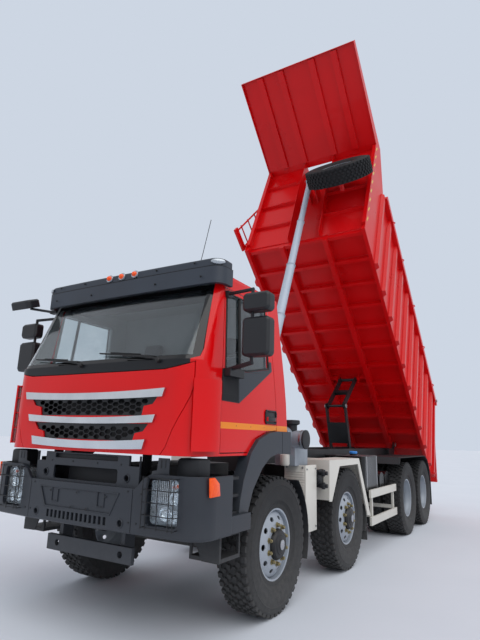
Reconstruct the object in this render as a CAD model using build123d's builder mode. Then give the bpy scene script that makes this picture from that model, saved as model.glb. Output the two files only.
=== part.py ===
from build123d import *
import os
from math import atan2, ceil, cos, hypot, radians, sin

os.makedirs("parts", exist_ok=True)

# Four-axle dump truck with its bed raised. Millimetres, +Z up, the truck faces -Y, +X is its left side.
# The origin is on the ground at the middle of the truck's length and width.

# Running gear
front_axle_y = -3486
axle_y = (0, 2010, 5020, 6400)  # from the front axle
tyre_radius = 607
tyre_width = 318
rim_edge = 122  # from the wheel's middle plane to the rim's edge
rim_flange = 345  # radius of the rim's lip
bead_radius = 308
single_x = 1021  # middle plane of a front wheel
king_x = 828  # kingpins of the steered axles
twin_x = (740, 1094)  # middle planes of a rear pair
hub_radius = 141

# Frame
rail_x = 430  # outer face of a frame rail
rail_z = (800, 1130)
subframe_top = 1420

# Bed, hinged behind the last axle
hinge_y = 7036
hinge_z = 1505
hinge_u = 928  # the hinge in the bed's own plane, from its lower rear corner
hinge_v = 75
bed_tilt = 42.8
bed_half = 1165
bed_length = 6180
front_lean = 0.342  # forward run of the front wall for each unit of height
rear_lean = 0.419
side_top = 1740
canopy_tip = (8770, 2450)
gate_pin = (700, 1715)
sheet = 10
gate_length = 1880
gate_hang = 18.8  # how far the tailgate hangs away from the closed bed

# Hoist, from its foot in the frame to its eye on the bed's front wall
hoist_foot = (1350, 1150)
hoist_eye = (6797, 1300)
hoist_radii = (95, 82, 72, 62, 52)

# Scissor stabiliser: pins in the subframe, at its elbow and under the bed
brace_foot = (5030, 1330)
brace_elbow = (4788, 2207)
brace_head = (2900, 0)

# Cab
cab_half = 1140
cab_wall = 45
door_wall = 60
cab_hinge = (-1300, 1225)  # y and z of the cab's tilting pins


def at(x, y, z):
    """A place given from the centreline, the front axle and the ground."""
    return Vector(x, front_axle_y + y, z)


def slab(x, y, z, mode=Mode.ADD):
    """A block between two limits on each axis."""
    with Locations(at((x[0] + x[1]) / 2, (y[0] + y[1]) / 2, (z[0] + z[1]) / 2)):
        Box(x[1] - x[0], y[1] - y[0], z[1] - z[0], mode=mode)


def bar(start, end, radius, mode=Mode.ADD):
    """A round bar between two places."""
    with Locations(Plane(origin=(start + end) / 2, z_dir=end - start).location):
        Cylinder(radius, (end - start).length, mode=mode)


def rod(start, end, radius, flats=8):
    """A bar in flats between two places, for small or plain bars."""
    with BuildSketch(Plane(origin=start, z_dir=end - start), mode=Mode.PRIVATE) as section:
        RegularPolygon(radius, flats)
    extrude(section.sketch, amount=(end - start).length)


def side_plate(points, x, mode=Mode.ADD):
    """A plate with a side view outline, as (y, z) points, between two places across the truck."""
    plane = Plane(origin=at(x[0], 0, 0), x_dir=(0, 1, 0), z_dir=(1, 0, 0))
    with BuildSketch(plane, mode=Mode.PRIVATE) as view:
        Polygon(*points, align=None)
    extrude(view.sketch, amount=x[1] - x[0], mode=mode)


# The bed's own directions: u runs forward along its floor, v stands square to the floor
along = Vector(0, -cos(radians(bed_tilt)), sin(radians(bed_tilt)))
upright = Vector(0, sin(radians(bed_tilt)), cos(radians(bed_tilt)))
bed_corner = at(0, hinge_y, hinge_z) - along * hinge_u - upright * hinge_v


def on_bed(x, u, v):
    return bed_corner + Vector(x, 0, 0) + along * u + upright * v


def bed_slab(x, u, v, mode=Mode.ADD):
    """A block square to the bed."""
    middle = on_bed((x[0] + x[1]) / 2, (u[0] + u[1]) / 2, (v[0] + v[1]) / 2)
    with Locations(Plane(origin=middle, x_dir=(1, 0, 0), z_dir=upright).location):
        Box(x[1] - x[0], u[1] - u[0], v[1] - v[0], mode=mode)


def bed_plate(points, x, taper=0, mode=Mode.ADD):
    """A plate with an outline in the bed's side view, as (u, v) points, from one place across to another."""
    outward = 1 if x[1] > x[0] else -1
    plane = Plane(origin=on_bed(x[0], 0, 0), x_dir=-along * outward, z_dir=(outward, 0, 0))
    with BuildSketch(plane, mode=Mode.PRIVATE) as view:
        Polygon(*[(-u * outward, v) for u, v in points], align=None)
    extrude(view.sketch, amount=abs(x[1] - x[0]), taper=taper, mode=mode)


def bed_bar(start, end, radius, mode=Mode.ADD):
    bar(on_bed(*start), on_bed(*end), radius, mode)


def finish(name, builder):
    builder.part.label = name
    export_step(builder.part, f"parts/{name}.step")


# Wheels are lofted in flats through regular polygons about an upright axis, and then set in their places. An
# outline lists heights on that axis, counted outwards from the wheel's middle plane, with their radii.
tyre_flats = 28
rim_flats = 20
hub_flats = 16


def turned(flats, outline):
    with BuildPart() as form:
        for height, radius in outline:
            with BuildSketch(Plane.XY.offset(height)):
                RegularPolygon(radius, flats, major_radius=False, rotation=180 / flats)
        loft(ruled=True)
    return form.part


def tyre_form(radius):
    """Beads against the rim, bulging walls and square shoulders."""
    bead, wall, shoulder = rim_edge - 14, tyre_width / 2, tyre_width / 2 - 30
    outside = [(bead, bead_radius + 40), (wall, radius * 0.78), (shoulder, radius)]
    with BuildPart() as form:
        add(turned(tyre_flats, [(-height, flat) for height, flat in outside] + outside[::-1]))
        add(turned(tyre_flats, [(-bead, bead_radius), (bead, bead_radius)]), mode=Mode.SUBTRACT)
    return form.part


def rim_form(dish, vents=True):
    """A disc wheel: a barrel with flared lips, and a coned disc whose mounting face stands at dish."""
    way = 1 if dish > 0 else -1
    seat, barrel = bead_radius - 5, bead_radius - 18
    lips = [(-rim_edge, rim_flange), (14 - rim_edge, seat), (rim_edge - 14, seat), (rim_edge, rim_flange)]
    with BuildPart() as form:
        add(turned(rim_flats, lips))
        add(turned(rim_flats, [(-rim_edge - 1, barrel), (rim_edge + 1, barrel)]), mode=Mode.SUBTRACT)
        add(turned(rim_flats, [(dish - 62 * way, barrel + 1), (dish, 200)]))
        add(turned(rim_flats, [(dish - 63 * way, barrel - 12), (dish - 14 * way, 188)]), mode=Mode.SUBTRACT)
        if vents:
            with BuildSketch(Plane.XY.offset(dish)):
                with PolarLocations(232, 10, start_angle=18):
                    Rectangle(24, 44)
            extrude(amount=80, both=True, mode=Mode.SUBTRACT)
    return form.part


def wheel_place(x, y, side):
    """Where a wheel's middle plane goes, with its outside away from the truck."""
    return Plane(origin=at(x, y, tyre_radius), x_dir=(0, 0, 1), z_dir=(side, 0, 0)).location


road_tyre = tyre_form(tyre_radius)
front_rim = rim_form(rim_edge + 10)
front_hub = turned(hub_flats, [(20, hub_radius), (176, hub_radius), (196, hub_radius - 20)])
for number in (1, 2):
    for hand, side in (("left", 1), ("right", -1)):
        place = wheel_place(side * single_x, axle_y[number - 1], side)
        with BuildPart() as tyre:
            with Locations(place):
                add(road_tyre)
        finish(f"tyre_{number}_{hand}", tyre)
        with BuildPart() as rim:
            with Locations(place):
                add(front_rim)
                add(front_hub)
        finish(f"rim_{number}_{hand}", rim)

mating = sum(twin_x) / 2  # where the discs of a rear pair meet
inner_rim = rim_form(mating - twin_x[0], vents=False)
outer_rim = rim_form(mating - twin_x[1])
rear_hub = turned(hub_flats, [(-237, hub_radius), (170, hub_radius), (205, hub_radius - 45)])
for number in (3, 4):
    for hand, side in (("left", 1), ("right", -1)):
        inner, outer, middle = (wheel_place(side * x, axle_y[number - 1], side) for x in (*twin_x, mating))
        with BuildPart() as tyre:
            with Locations(inner, outer):
                add(road_tyre)
        finish(f"twin_tyres_{number}_{hand}", tyre)
        with BuildPart() as rim:
            for place, form in ((inner, inner_rim), (outer, outer_rim), (middle, rear_hub)):
                with Locations(place):
                    add(form)
        finish(f"twin_rims_{number}_{hand}", rim)

# Steering knuckles: a stub behind each front hub, with its kingpin post
for number in (1, 2):
    for hand, side in (("left", 1), ("right", -1)):
        y = axle_y[number - 1]
        with BuildPart() as knuckle:
            rod(at(side * 900, y, tyre_radius), at(side * 1039, y, tyre_radius), 120, 16)
            for z in (tyre_radius + 62, tyre_radius - 112):
                slab(sorted((side * king_x, side * 906)), (y - 60, y + 60), (z, z + 50))
                rod(at(side * king_x, y, z), at(side * king_x, y, z + 50), 60, 12)
            slab(sorted((side * 888, side * 906)), (y - 80, y + 80), (tyre_radius - 112, tyre_radius + 112))
            slab(sorted((side * 815, side * 870)), (y + 40, y + 260), (tyre_radius - 112, tyre_radius - 72))
        finish(f"knuckle_{number}_{hand}", knuckle)

# Axles and springs: forged beams in front, cased drive axles behind, leaf packs above them
with BuildPart() as axles:
    z = tyre_radius
    for y in axle_y[:2]:
        with BuildSketch(Plane(origin=at(0, y - 55, 0), x_dir=(-1, 0, 0), z_dir=(0, 1, 0))):
            with BuildLine():
                Polyline(
                    (king_x, z - 56), (king_x, z + 56), (760, z + 56), (560, z - 20), (-560, z - 20),
                    (-760, z + 56), (-king_x, z + 56), (-king_x, z - 56), (-780, z - 56), (-560, z - 130),
                    (560, z - 130), (780, z - 56), (king_x, z - 56),
                )
            make_face()
        extrude(amount=110)
        for side in (1, -1):
            rod(at(side * king_x, y, z - 56), at(side * king_x, y, z + 56), 52, 12)
            for leaf in range(5):
                reach = 260 + leaf * 130
                low = z - 22 + leaf * 20
                slab(sorted((side * 340, side * 428)), (y - reach, y + reach), (low, low + 20))
            slab(sorted((side * 340, side * 428)), (y - 780, y - 740), (z + 57, rail_z[0]))
            slab(sorted((side * 340, side * 428)), (y + 740, y + 780), (z + 57, rail_z[0]))
    for y in axle_y[2:]:
        rod(at(-600, y, z), at(600, y, z), 75, 16)
        with Locations(wheel_place(0, y, 1)):
            add(turned(20, [(-190, 80), (-100, 205), (100, 205), (190, 80)]))
        rod(at(0, y - 330, z + 20), at(0, y, z), 110, 16)
    bogie = (axle_y[2] + axle_y[3]) / 2
    for side in (1, -1):
        for leaf in range(6):
            reach = 740 - leaf * 110
            low = z + 74 + leaf * 22
            slab((side * 490 - 50, side * 490 + 50), (bogie - reach, bogie + reach), (low, low + 22))
        slab((side * 490 - 60, side * 490 + 60), (bogie - 110, bogie + 110), (z - 60, z + 76))
        slab((side * 490 - 58, side * 490 + 58), (bogie - 90, bogie + 90), (z + 206, z + 236))
        slab(sorted((side * 431, side * 490)), (bogie - 90, bogie + 90), (z + 236, rail_z[1] - 20))
    rod(at(-430, bogie, z - 45), at(430, bogie, z - 45), 42, 12)
    rod(at(0, 1156, 800), at(0, axle_y[2] - 329, z + 20), 45, 12)
    rod(at(0, axle_y[2] + 150, z + 40), at(0, axle_y[3] - 329, z + 20), 40, 12)
finish("axles", axles)

# Frame: two channel rails, cross members and the rear lamp beam, and on them the subframe of box rails
# with the hoist's foot bearings and the bed's hinge brackets
with BuildPart() as frame:
    for side in (1, -1):
        flange = sorted((side * rail_x, side * (rail_x - 80)))
        slab(sorted((side * rail_x, side * (rail_x - 10))), (-1180, 7180), rail_z)
        slab(flange, (-1180, 7180), (rail_z[0], rail_z[0] + 10))
        slab(flange, (-1180, 7180), (rail_z[1] - 10, rail_z[1]))
        slab(sorted((side * 350, side * rail_x)), (1100, 6930), (rail_z[1], subframe_top))
        side_plate(
            [(6560, 1180), (6930, 1180), (7036, 1400), (7088, 1495), (7058, 1552), (7014, 1552), (6984, 1510),
             (6930, subframe_top), (6560, subframe_top)],
            sorted((side * 500, side * 525)),
        )
        slab(sorted((side * rail_x, side * 505)), (6620, 6900), (1190, 1390))
        slab(sorted((side * 135, side * 165)), (1270, 1430), (1060, 1250))
        slab(sorted((side * 160, side * 351)), (1300, 1400), (1140, 1240))
        slab(sorted((side * rail_x, side * 491)), (-1180, -1090), (900, 1100))
        side_plate(
            [(-1090, 900), (-1090, 1120), (-1210, 1230), (-1275, 1262), (-1320, 1258), (-1334, 1225),
             (-1322, 1190), (-1180, 900)],
            sorted((side * 490, side * 515)),
        )
        bar(at(side * 500, *cab_hinge), at(side * 585, *cab_hinge), 24)
    for y in (-1100, 1530, 2600, 3600, 4500, 5710, 7100):
        slab((-421, 421), (y - 60, y + 60), (rail_z[0] + 40, rail_z[1] - 15))
    for y in (2300, 3300, 3950, 5230, 6500, 6880):
        slab((-351, 351), (y - 45, y + 45), (rail_z[1] + 20, subframe_top - 20))
    slab((-351, 351), (1105, 1180), (rail_z[1] + 20, subframe_top - 20))
    slab((-1150, 1150), (7181, 7261), (800, 900))
    bar(at(-540, hinge_y, hinge_z), at(540, hinge_y, hinge_z), 31, mode=Mode.SUBTRACT)
    bar(at(-200, *hoist_foot), at(200, *hoist_foot), 41, mode=Mode.SUBTRACT)
    for side in (1, -1):
        bar(at(side * 300, *brace_foot), at(side * 351, *brace_foot), 48)
    bar(at(-352, *brace_foot), at(352, *brace_foot), 26.5, mode=Mode.SUBTRACT)
finish("frame", frame)

# Engine and gearbox as one block between the rails under the cab
with BuildPart() as engine:
    slab((-330, 330), (-900, 420), (740, 1285))
    slab((-200, 200), (419, 1150), (760, 1050))
finish("engine", engine)

# Bumper: a pressed steel front in three sections that wraps round the corners. Each corner section has a lamp
# opening, and the middle one a plate recess, an inlet behind slats, and a panel that stands behind its shelf.
bumper_z = (820, 1270)
bumper_nose = -1420
shelf_z = 1155
seam_x = 608
lamp_x = (735, 1032)
lamp_z = (900, 1242)
guard_y = -1436
front_view = Plane(origin=at(0, 0, 0), x_dir=(1, 0, 0), z_dir=(0, -1, 0))


def bumper_form(inset, z):
    """The wrapped shape between two heights, shrunk all round except at its open back."""
    half, nose, back = 1245 - inset, front_axle_y + bumper_nose + inset, front_axle_y - 960
    with BuildPart() as form:
        with BuildSketch(Plane.XY.offset(z[0])) as outline:
            with BuildLine():
                Polyline((half, nose + 60), (half, back), (-half, back), (-half, nose + 60))
                ThreePointArc((-half, nose + 60), (0, nose), (half, nose + 60))
            make_face()
            fillet(outline.vertices().sort_by(Axis.Y)[:2], 190 - inset)
        extrude(amount=z[1] - z[0])
    return form.part


with BuildPart() as front_bumper:
    add(bumper_form(0, bumper_z))
    fillet(front_bumper.edges().filter_by(Plane.XY).group_by(Axis.Z)[0].sort_by(Axis.Y)[:3], 24)
    add(bumper_form(28, (bumper_z[0] - 1, bumper_z[1] + 1)), mode=Mode.SUBTRACT)
    with BuildSketch(front_view):
        Polygon((-776, 1271), (-700, 1232), (-650, 1175), (-624, shelf_z), (624, shelf_z), (650, 1175),
                (700, 1232), (776, 1271), align=None)
    extrude(amount=1500, mode=Mode.SUBTRACT)
    with BuildSketch(front_view):
        for side in (1, -1):
            with Locations((side * sum(lamp_x) / 2, sum(lamp_z) / 2)):
                RectangleRounded(lamp_x[1] - lamp_x[0], lamp_z[1] - lamp_z[0], 40)
            with Locations((side * 500, 890)):
                Circle(24)
        for slat in range(14):
            with Locations((-338 + slat * 52, 890)):
                Rectangle(30, 60)
    extrude(amount=1500, mode=Mode.SUBTRACT)
    with BuildSketch(Plane(origin=at(0, bumper_nose + 13, 0), x_dir=(1, 0, 0), z_dir=(0, -1, 0))):
        Polygon((-469, 1105), (-390, 946), (390, 946), (469, 1105), align=None)
    extrude(amount=60, mode=Mode.SUBTRACT)
    for side in (1, -1):
        seam = sorted((side * (seam_x - 3), side * (seam_x + 3)))
        slab(seam, (bumper_nose - 9, bumper_nose + 23), (800, 1160), Mode.SUBTRACT)
    # The panel behind the shelf, with its two openings, on brackets from the frame
    slab((-640, 640), (-1392, -1340), (shelf_z - 26, shelf_z))
    with BuildSketch(Plane(origin=at(0, -1340, 0), x_dir=(1, 0, 0), z_dir=(0, -1, 0))):
        with Locations((0, 1274)):
            Rectangle(1240, 242)
        with Locations((0, 1227)):
            RectangleRounded(772, 112, 20, mode=Mode.SUBTRACT)
        with Locations((0, 1365)):
            RectangleRounded(764, 38, 10, mode=Mode.SUBTRACT)
        for side in (1, -1):
            with Locations((side * 490, 1220)):
                Circle(25, mode=Mode.SUBTRACT)
            with Locations((side * 560, 1360)):
                Rectangle(110, 90, mode=Mode.SUBTRACT)
    extrude(amount=20)
    for side in (1, -1):
        slab(sorted((side * 660, side * 720)), (-1385, -1181), (830, 1120))
        slab(sorted((side * 350, side * 430)), (-1392, -1181), (830, 1100))
        slab(sorted((side * 350, side * 390)), (-1341, -1181), (1000, 1140))
        slab(sorted((side * 1180, side * 1230)), (-975, -640), (830, 960))
        slab(sorted((side * 900, side * 1190)), (-985, -970), (830, 900))
        slab(sorted((side * 900, side * 930)), (-1300, -970), (830, 880))
        slab(sorted((side * 700, side * 905)), (-1250, -1181), (830, 880))
    slab((-502, 502), (-1250, -1215), (558, 686))
    for side in (1, -1):
        slab(sorted((side * 350, side * 390)), (-1216, -1100), (558, rail_z[0]))
        bar(at(side * 375, -1260, 622), at(side * 375, -1200, 622), 26, mode=Mode.SUBTRACT)
        slab(sorted((side * 350, side * 390)), (-1216, -1181), (790, 835))
finish("front_bumper", front_bumper)

# Headlamps: a lens body in each bumper opening behind a bar guard, and a side lamp at each end
with BuildPart() as headlamps:
    for side in (1, -1):
        middle = side * sum(lamp_x) / 2
        with BuildSketch(Plane(origin=at(middle, -1240, sum(lamp_z) / 2), x_dir=(1, 0, 0), z_dir=(0, -1, 0))):
            RectangleRounded(lamp_x[1] - lamp_x[0] - 14, lamp_z[1] - lamp_z[0] - 14, 34)
        extrude(amount=110)
        slab(sorted((side * 800, side * 960)), (-1241, -1200), (885, 1100))
        slab(sorted((side * 800, side * 930)), (-1215, -1200), (880, 900))
        for x in (735, 778, 885, 992, 1035):
            slab(sorted((side * (x - 5), side * (x + 5))), (guard_y - 8, guard_y + 2), (885, 1255))
        for z in (892, 980, 1070, 1160, 1248):
            slab(sorted((side * 726, side * 1044)), (guard_y, guard_y + 10), (z - 4, z + 4))
        for x, skin in ((735, -1401), (1035, -1381)):
            for z in (980, 1160):
                slab(sorted((side * (x - 3), side * (x + 3))), (guard_y + 8, skin), (z - 3, z + 3))
        side_plate([(-1290, 1128), (-1160, 1132), (-1176, 1222), (-1240, 1268), (-1300, 1266)],
                   sorted((side * 1246, side * 1262)))
finish("headlamps", headlamps)

# Tanks and boxes: fuel tank on the right, oil tank and air vessels on the left, battery box, each on brackets
with BuildPart() as tanks:
    slab((-1110, -560), (2900, 4330), (580, 1180))
    fillet(tanks.edges().filter_by(Axis.Y), 100)
    for y in (3150, 4060):
        slab((-561, -rail_x), (y - 30, y + 30), (850, 1060))
with BuildPart() as oil_tank:
    slab((480, 1110), (2900, 3620), (860, 1340))
    fillet(oil_tank.edges().filter_by(Axis.Z), 60)
    bar(at(900, 3050, 1339), at(900, 3050, 1375), 55)
    slab((rail_x, 481), (3100, 3500), (900, 1060))
    for y in (3900, 4220):
        bar(at(560, y, 950), at(1080, y, 950), 130)
        slab((rail_x, 800), (y - 40, y + 40), (1075, 1100))
with BuildPart() as battery_box:
    slab((620, 1120), (720, 1010), (640, 1280))
    slab((rail_x, 621), (800, 930), (840, 1060))
with BuildPart() as all_tanks:
    add(tanks.part)
    add(oil_tank.part)
    add(battery_box.part)
finish("tanks", all_tanks)

with BuildPart() as air_cleaner:
    bar(at(900, 640, 1560), at(1180, 640, 1560), 95)
    bar(at(940, 480, 1600), at(940, 700, 1600), 100)
    slab((820, 1060), (600, 940), (1281, 1480))
finish("air_cleaner", air_cleaner)

# Mudguards. A guard is a sheet bent in small flats between two radii about its wheel.
def arch(y, x, inner, outer, start, end):
    """A guard from one angle to another, measured from straight back."""
    count = ceil((end - start) / 9)
    turns = [radians(start + (end - start) * step / count) for step in range(count + 1)]
    outside = [(y + outer * cos(turn), tyre_radius + outer * sin(turn)) for turn in turns]
    inside = [(y + inner * cos(turn), tyre_radius + inner * sin(turn)) for turn in reversed(turns)]
    side_plate(outside + inside, x)


step_z = (620, 825)
with BuildPart() as mudguards:
    for side in (1, -1):
        wide = sorted((side * 850, side * 1170))
        arch(0, wide, 700, 710, -20, 50)
        arch(axle_y[1], wide, 705, 715, -20, 8)
        slab(wide, (axle_y[1] + 724, axle_y[1] + 732), (240, 560))
        slab(wide, (axle_y[1] + 670, axle_y[1] + 732), (395, 405))
        # One flat-topped guard over both rear axles, bent down into a flap behind them
        side_plate(
            [(4440, 1190), (4520, 1300), (6600, 1300), (6860, 1215), (7020, 1010), (7084, 760), (7084, 300),
             (7076, 300), (7076, 758), (7012, 1006), (6855, 1208), (6598, 1292), (4524, 1292), (4447, 1185)],
            sorted((side * 575, side * 1245)),
        )
        for y in axle_y[2:]:
            slab(sorted((side * rail_x, side * 576)), (y - 30, y + 30), (1040, 1075))
            slab(sorted((side * 555, side * 576)), (y - 30, y + 30), (1040, 1293))
        # Entry step: a box below the cab door behind the bumper's end, with a tapered plate over its front
        for y in (-1000, -720):
            slab(sorted((side * 1145, side * 1168)), (y, y + 20), (step_z[0], step_z[1]))
            slab(sorted((side * 880, side * 900)), (y, y + 20), (step_z[0], 960))
        slab(sorted((side * 880, side * 1168)), (-1000, -700), (step_z[0], step_z[0] + 30))
        slab(sorted((side * 880, side * 1168)), (-1000, -700), (step_z[1] - 25, step_z[1]))
        with BuildSketch(Plane(origin=at(0, -1000, 0), x_dir=(1, 0, 0), z_dir=(0, -1, 0))):
            Polygon((side * 900, step_z[1]), (side * 1168, step_z[1]), (side * 1168, step_z[0] - 4),
                    (side * 1006, step_z[0]), align=None)
        extrude(amount=8)
        slab(sorted((side * rail_x, side * 885)), (-860, -800), (940, 1000))
finish("mudguards", mudguards)

with BuildPart() as side_fairings:
    for side in (1, -1):
        x = sorted((side * 850, side * 1185))
        side_plate(
            [(1285, 880), (1300, 1330), (2420, 1330), (2880, 540), (2860, 532), (2408, 1312), (1317, 1312),
             (1302, 880)],
            x,
        )
        side_plate(
            [(1300, 866), (1300, 1330), (2420, 1330), (2880, 540), (2740, 560), (2372, 1255), (1650, 1250),
             (1372, 862)],
            sorted((side * 1170, side * 1185)),
        )
        slab(sorted((side * rail_x, side * 851)), (1980, 2040), (1290, 1320))
        slab(sorted((side * rail_x, side * 470)), (1980, 2040), (1000, 1300))
        rail = sorted((side * 1165, side * 1195))
        for z in (400, 770):
            slab(rail, (2900, 4345), (z, z + 110))
        for y in (3050, 4250):
            slab(sorted((side * 1135, side * 1166)), (y - 25, y + 25), (420, 860))
            slab(sorted((side * rail_x, side * 1140)), (y - 20, y + 20), (500, 555))
            slab(sorted((side * rail_x, side * 470)), (y - 20, y + 20), (500, 840))
finish("side_fairings", side_fairings)

# Hoist: a telescopic cylinder standing on its foot pin, drawn out in four stages
foot = at(0, *hoist_foot)
eye = on_bed(0, *hoist_eye)
run = (eye - foot).normalized()
hoist_extended = (eye - foot).length
lowered_eye = (hinge_y - (hoist_eye[0] - hinge_u), hinge_z + hoist_eye[1] - hinge_v)
hoist_closed = hypot(lowered_eye[0] - hoist_foot[0], lowered_eye[1] - hoist_foot[1])
stroke = (hoist_extended - hoist_closed) / 4
tube_length = hoist_closed - 190

with BuildPart() as hoist_barrel:
    bar(foot + run * 60, foot + run * (60 + tube_length), hoist_radii[0])
    bar(foot + run * 100, foot + run * (61 + tube_length), hoist_radii[1] + 1, mode=Mode.SUBTRACT)
    bar(foot + Vector(-125, 0, 0), foot + Vector(125, 0, 0), 75)
    bar(foot + Vector(-170, 0, 0), foot + Vector(170, 0, 0), 40)
finish("hoist_barrel", hoist_barrel)

for stage in (1, 2, 3, 4):
    base = foot + run * (105 + stage * 5 + stage * stroke)
    tip = base + run * (tube_length - 45 + 18 * stage - 5 * stage)
    with BuildPart() as tube:
        bar(base, tip, hoist_radii[stage])
        if stage < 4:
            bar(base + run * 4, tip + run, hoist_radii[stage + 1] + 1, mode=Mode.SUBTRACT)
        else:
            bar(tip - run, eye, 38)
            bar(eye - Vector(57, 0, 0), eye + Vector(57, 0, 0), 60)
    finish(f"hoist_stage_{stage}", tube)

# Scissor stabiliser: a lower arm on the subframe and an upper arm under the bed
elbow = at(0, *brace_elbow)
lower_run = elbow - at(0, *brace_foot)
lower_plane = Plane(origin=at(0, *brace_foot), x_dir=(1, 0, 0), z_dir=lower_run)
head = on_bed(0, *brace_head)
with BuildPart() as lower_brace:
    with Locations(lower_plane.location):
        with Locations((-187, 0, lower_run.length / 2), (187, 0, lower_run.length / 2)):
            Box(24, 110, lower_run.length + 100)
        with Locations((0, -50, 400)):
            Box(352, 10, 400)
    bar(at(-349, *brace_foot), at(349, *brace_foot), 26)
    bar(at(-220, *brace_elbow), at(220, *brace_elbow), 26, mode=Mode.SUBTRACT)
finish("lower_brace", lower_brace)

with BuildPart() as upper_brace:
    reach = head - elbow
    for side in (1, -1):
        shift = Vector(side * 155, 0, 0)
        with Locations(Plane(origin=(elbow + head) / 2 + shift, x_dir=(1, 0, 0), z_dir=reach).location):
            Box(24, 110, reach.length + 40)
    with Locations(Plane(origin=(elbow + head) / 2, x_dir=(1, 0, 0), z_dir=reach).location):
        Box(300, 60, 90)
    bar(elbow - Vector(215, 0, 0), elbow + Vector(215, 0, 0), 25.5)
    bar(head - Vector(203, 0, 0), head + Vector(203, 0, 0), 30)
finish("upper_brace", upper_brace)

# Bed. The side view outlines of its walls share the front and rear leans.
front_top = 2200
side_outline = [
    (0, 0), (bed_length, 0), (bed_length + front_lean * front_top, front_top), (canopy_tip[0], 2330),
    canopy_tip, (6750, 2420), (6020, side_top), (rear_lean * side_top, side_top),
]
rib_count = 10
rib_pitch = 560
rib_lean = 0.38
rib_width = 130
rib_top = side_top - 90
for hand, side in (("left", 1), ("right", -1)):
    with BuildPart() as bed_side:
        bed_plate(side_outline, (side * (bed_half - sheet), side * bed_half))
        for rib in range(rib_count):
            foot_u = 330 + rib * rib_pitch
            bed_plate(
                [(foot_u, 0), (foot_u + rib_width, 0), (foot_u + rib_width + rib_lean * rib_top, rib_top),
                 (foot_u + rib_lean * rib_top, rib_top)],
                (side * bed_half, side * (bed_half + 58)), taper=18,
            )
        top_rail = sorted((side * (bed_half - sheet), side * (bed_half + 88)))
        bed_slab(top_rail, (760, 6010), (side_top - 95, side_top))
        bed_plate(
            [(0, 0), (90, 0), (90 + rear_lean * rib_top, rib_top), (rear_lean * rib_top, rib_top)],
            (side * bed_half, side * (bed_half + 70)),
        )
        bed_plate(
            [(672, 1700), (700, 1686), (790, 1680), (790, 1740), (700, 1744), (674, 1734)],
            (side * (bed_half + 50), side * (bed_half + 70)),
        )
        bed_bar((side * (bed_half + 60), *gate_pin), (side * (bed_half + 92), *gate_pin), 22)
    finish(f"bed_side_{hand}", bed_side)

inner = bed_half - sheet
wall_set = 120  # the front wall stands this far behind the edge of the sides
trough_half = 300
with BuildPart() as bed_floor:
    bed_plate([(70, 150), (bed_length - 64, 150), (bed_length - 64, 162), (75, 162)], (-inner, inner))
    for side in (1, -1):
        bed_slab(sorted((side * 375, side * 465)), (75, bed_length - 70), (0, 150))
        bed_slab(sorted((side * (inner - 55), side * inner)), (75, bed_length - 62), (0, 150))
        bed_plate(
            [(hinge_u - 110, 20), (hinge_u + 110, 20), (hinge_u + 60, hinge_v + 60),
             (hinge_u - 60, hinge_v + 60)],
            (side * 464, side * 490),
        )
        bed_bar((side * 480, hinge_u, hinge_v), (side * 545, hinge_u, hinge_v), 30)
    for member in range(12):
        u = 825 + member * 476
        if member == 11:
            u = bed_length - 100
        bed_slab((-inner + 54, inner - 54), (u - 32, u + 32), (45, 150))
    bed_slab((-inner + 54, inner - 54), (75, 145), (0, 150))
    for side in (1, -1):
        bed_slab(sorted((side * 205, side * 230)), (brace_head[0] - 45, brace_head[0] + 45), (-45, 150))
        bed_slab(sorted((side * 205, side * 376)), (brace_head[0] - 25, brace_head[0] + 20), (46, 150))
finish("bed_floor", bed_floor)


# Spare wheel, held against the front wall
spare_place = (695, 6930, 950)
spare_radius = 585
spare_lean = 10
spare_axis = along * cos(radians(spare_lean)) + upright * sin(radians(spare_lean))
spare_location = Plane(origin=on_bed(*spare_place), x_dir=(1, 0, 0), z_dir=spare_axis).location
with BuildPart() as spare_tyre:
    with Locations(spare_location):
        add(tyre_form(spare_radius))
finish("spare_tyre", spare_tyre)
with BuildPart() as spare_rim:
    with Locations(spare_location):
        add(rim_form(14 - rim_edge))
finish("spare_rim", spare_rim)


def wall_u(v):
    return bed_length + front_lean * v


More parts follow.
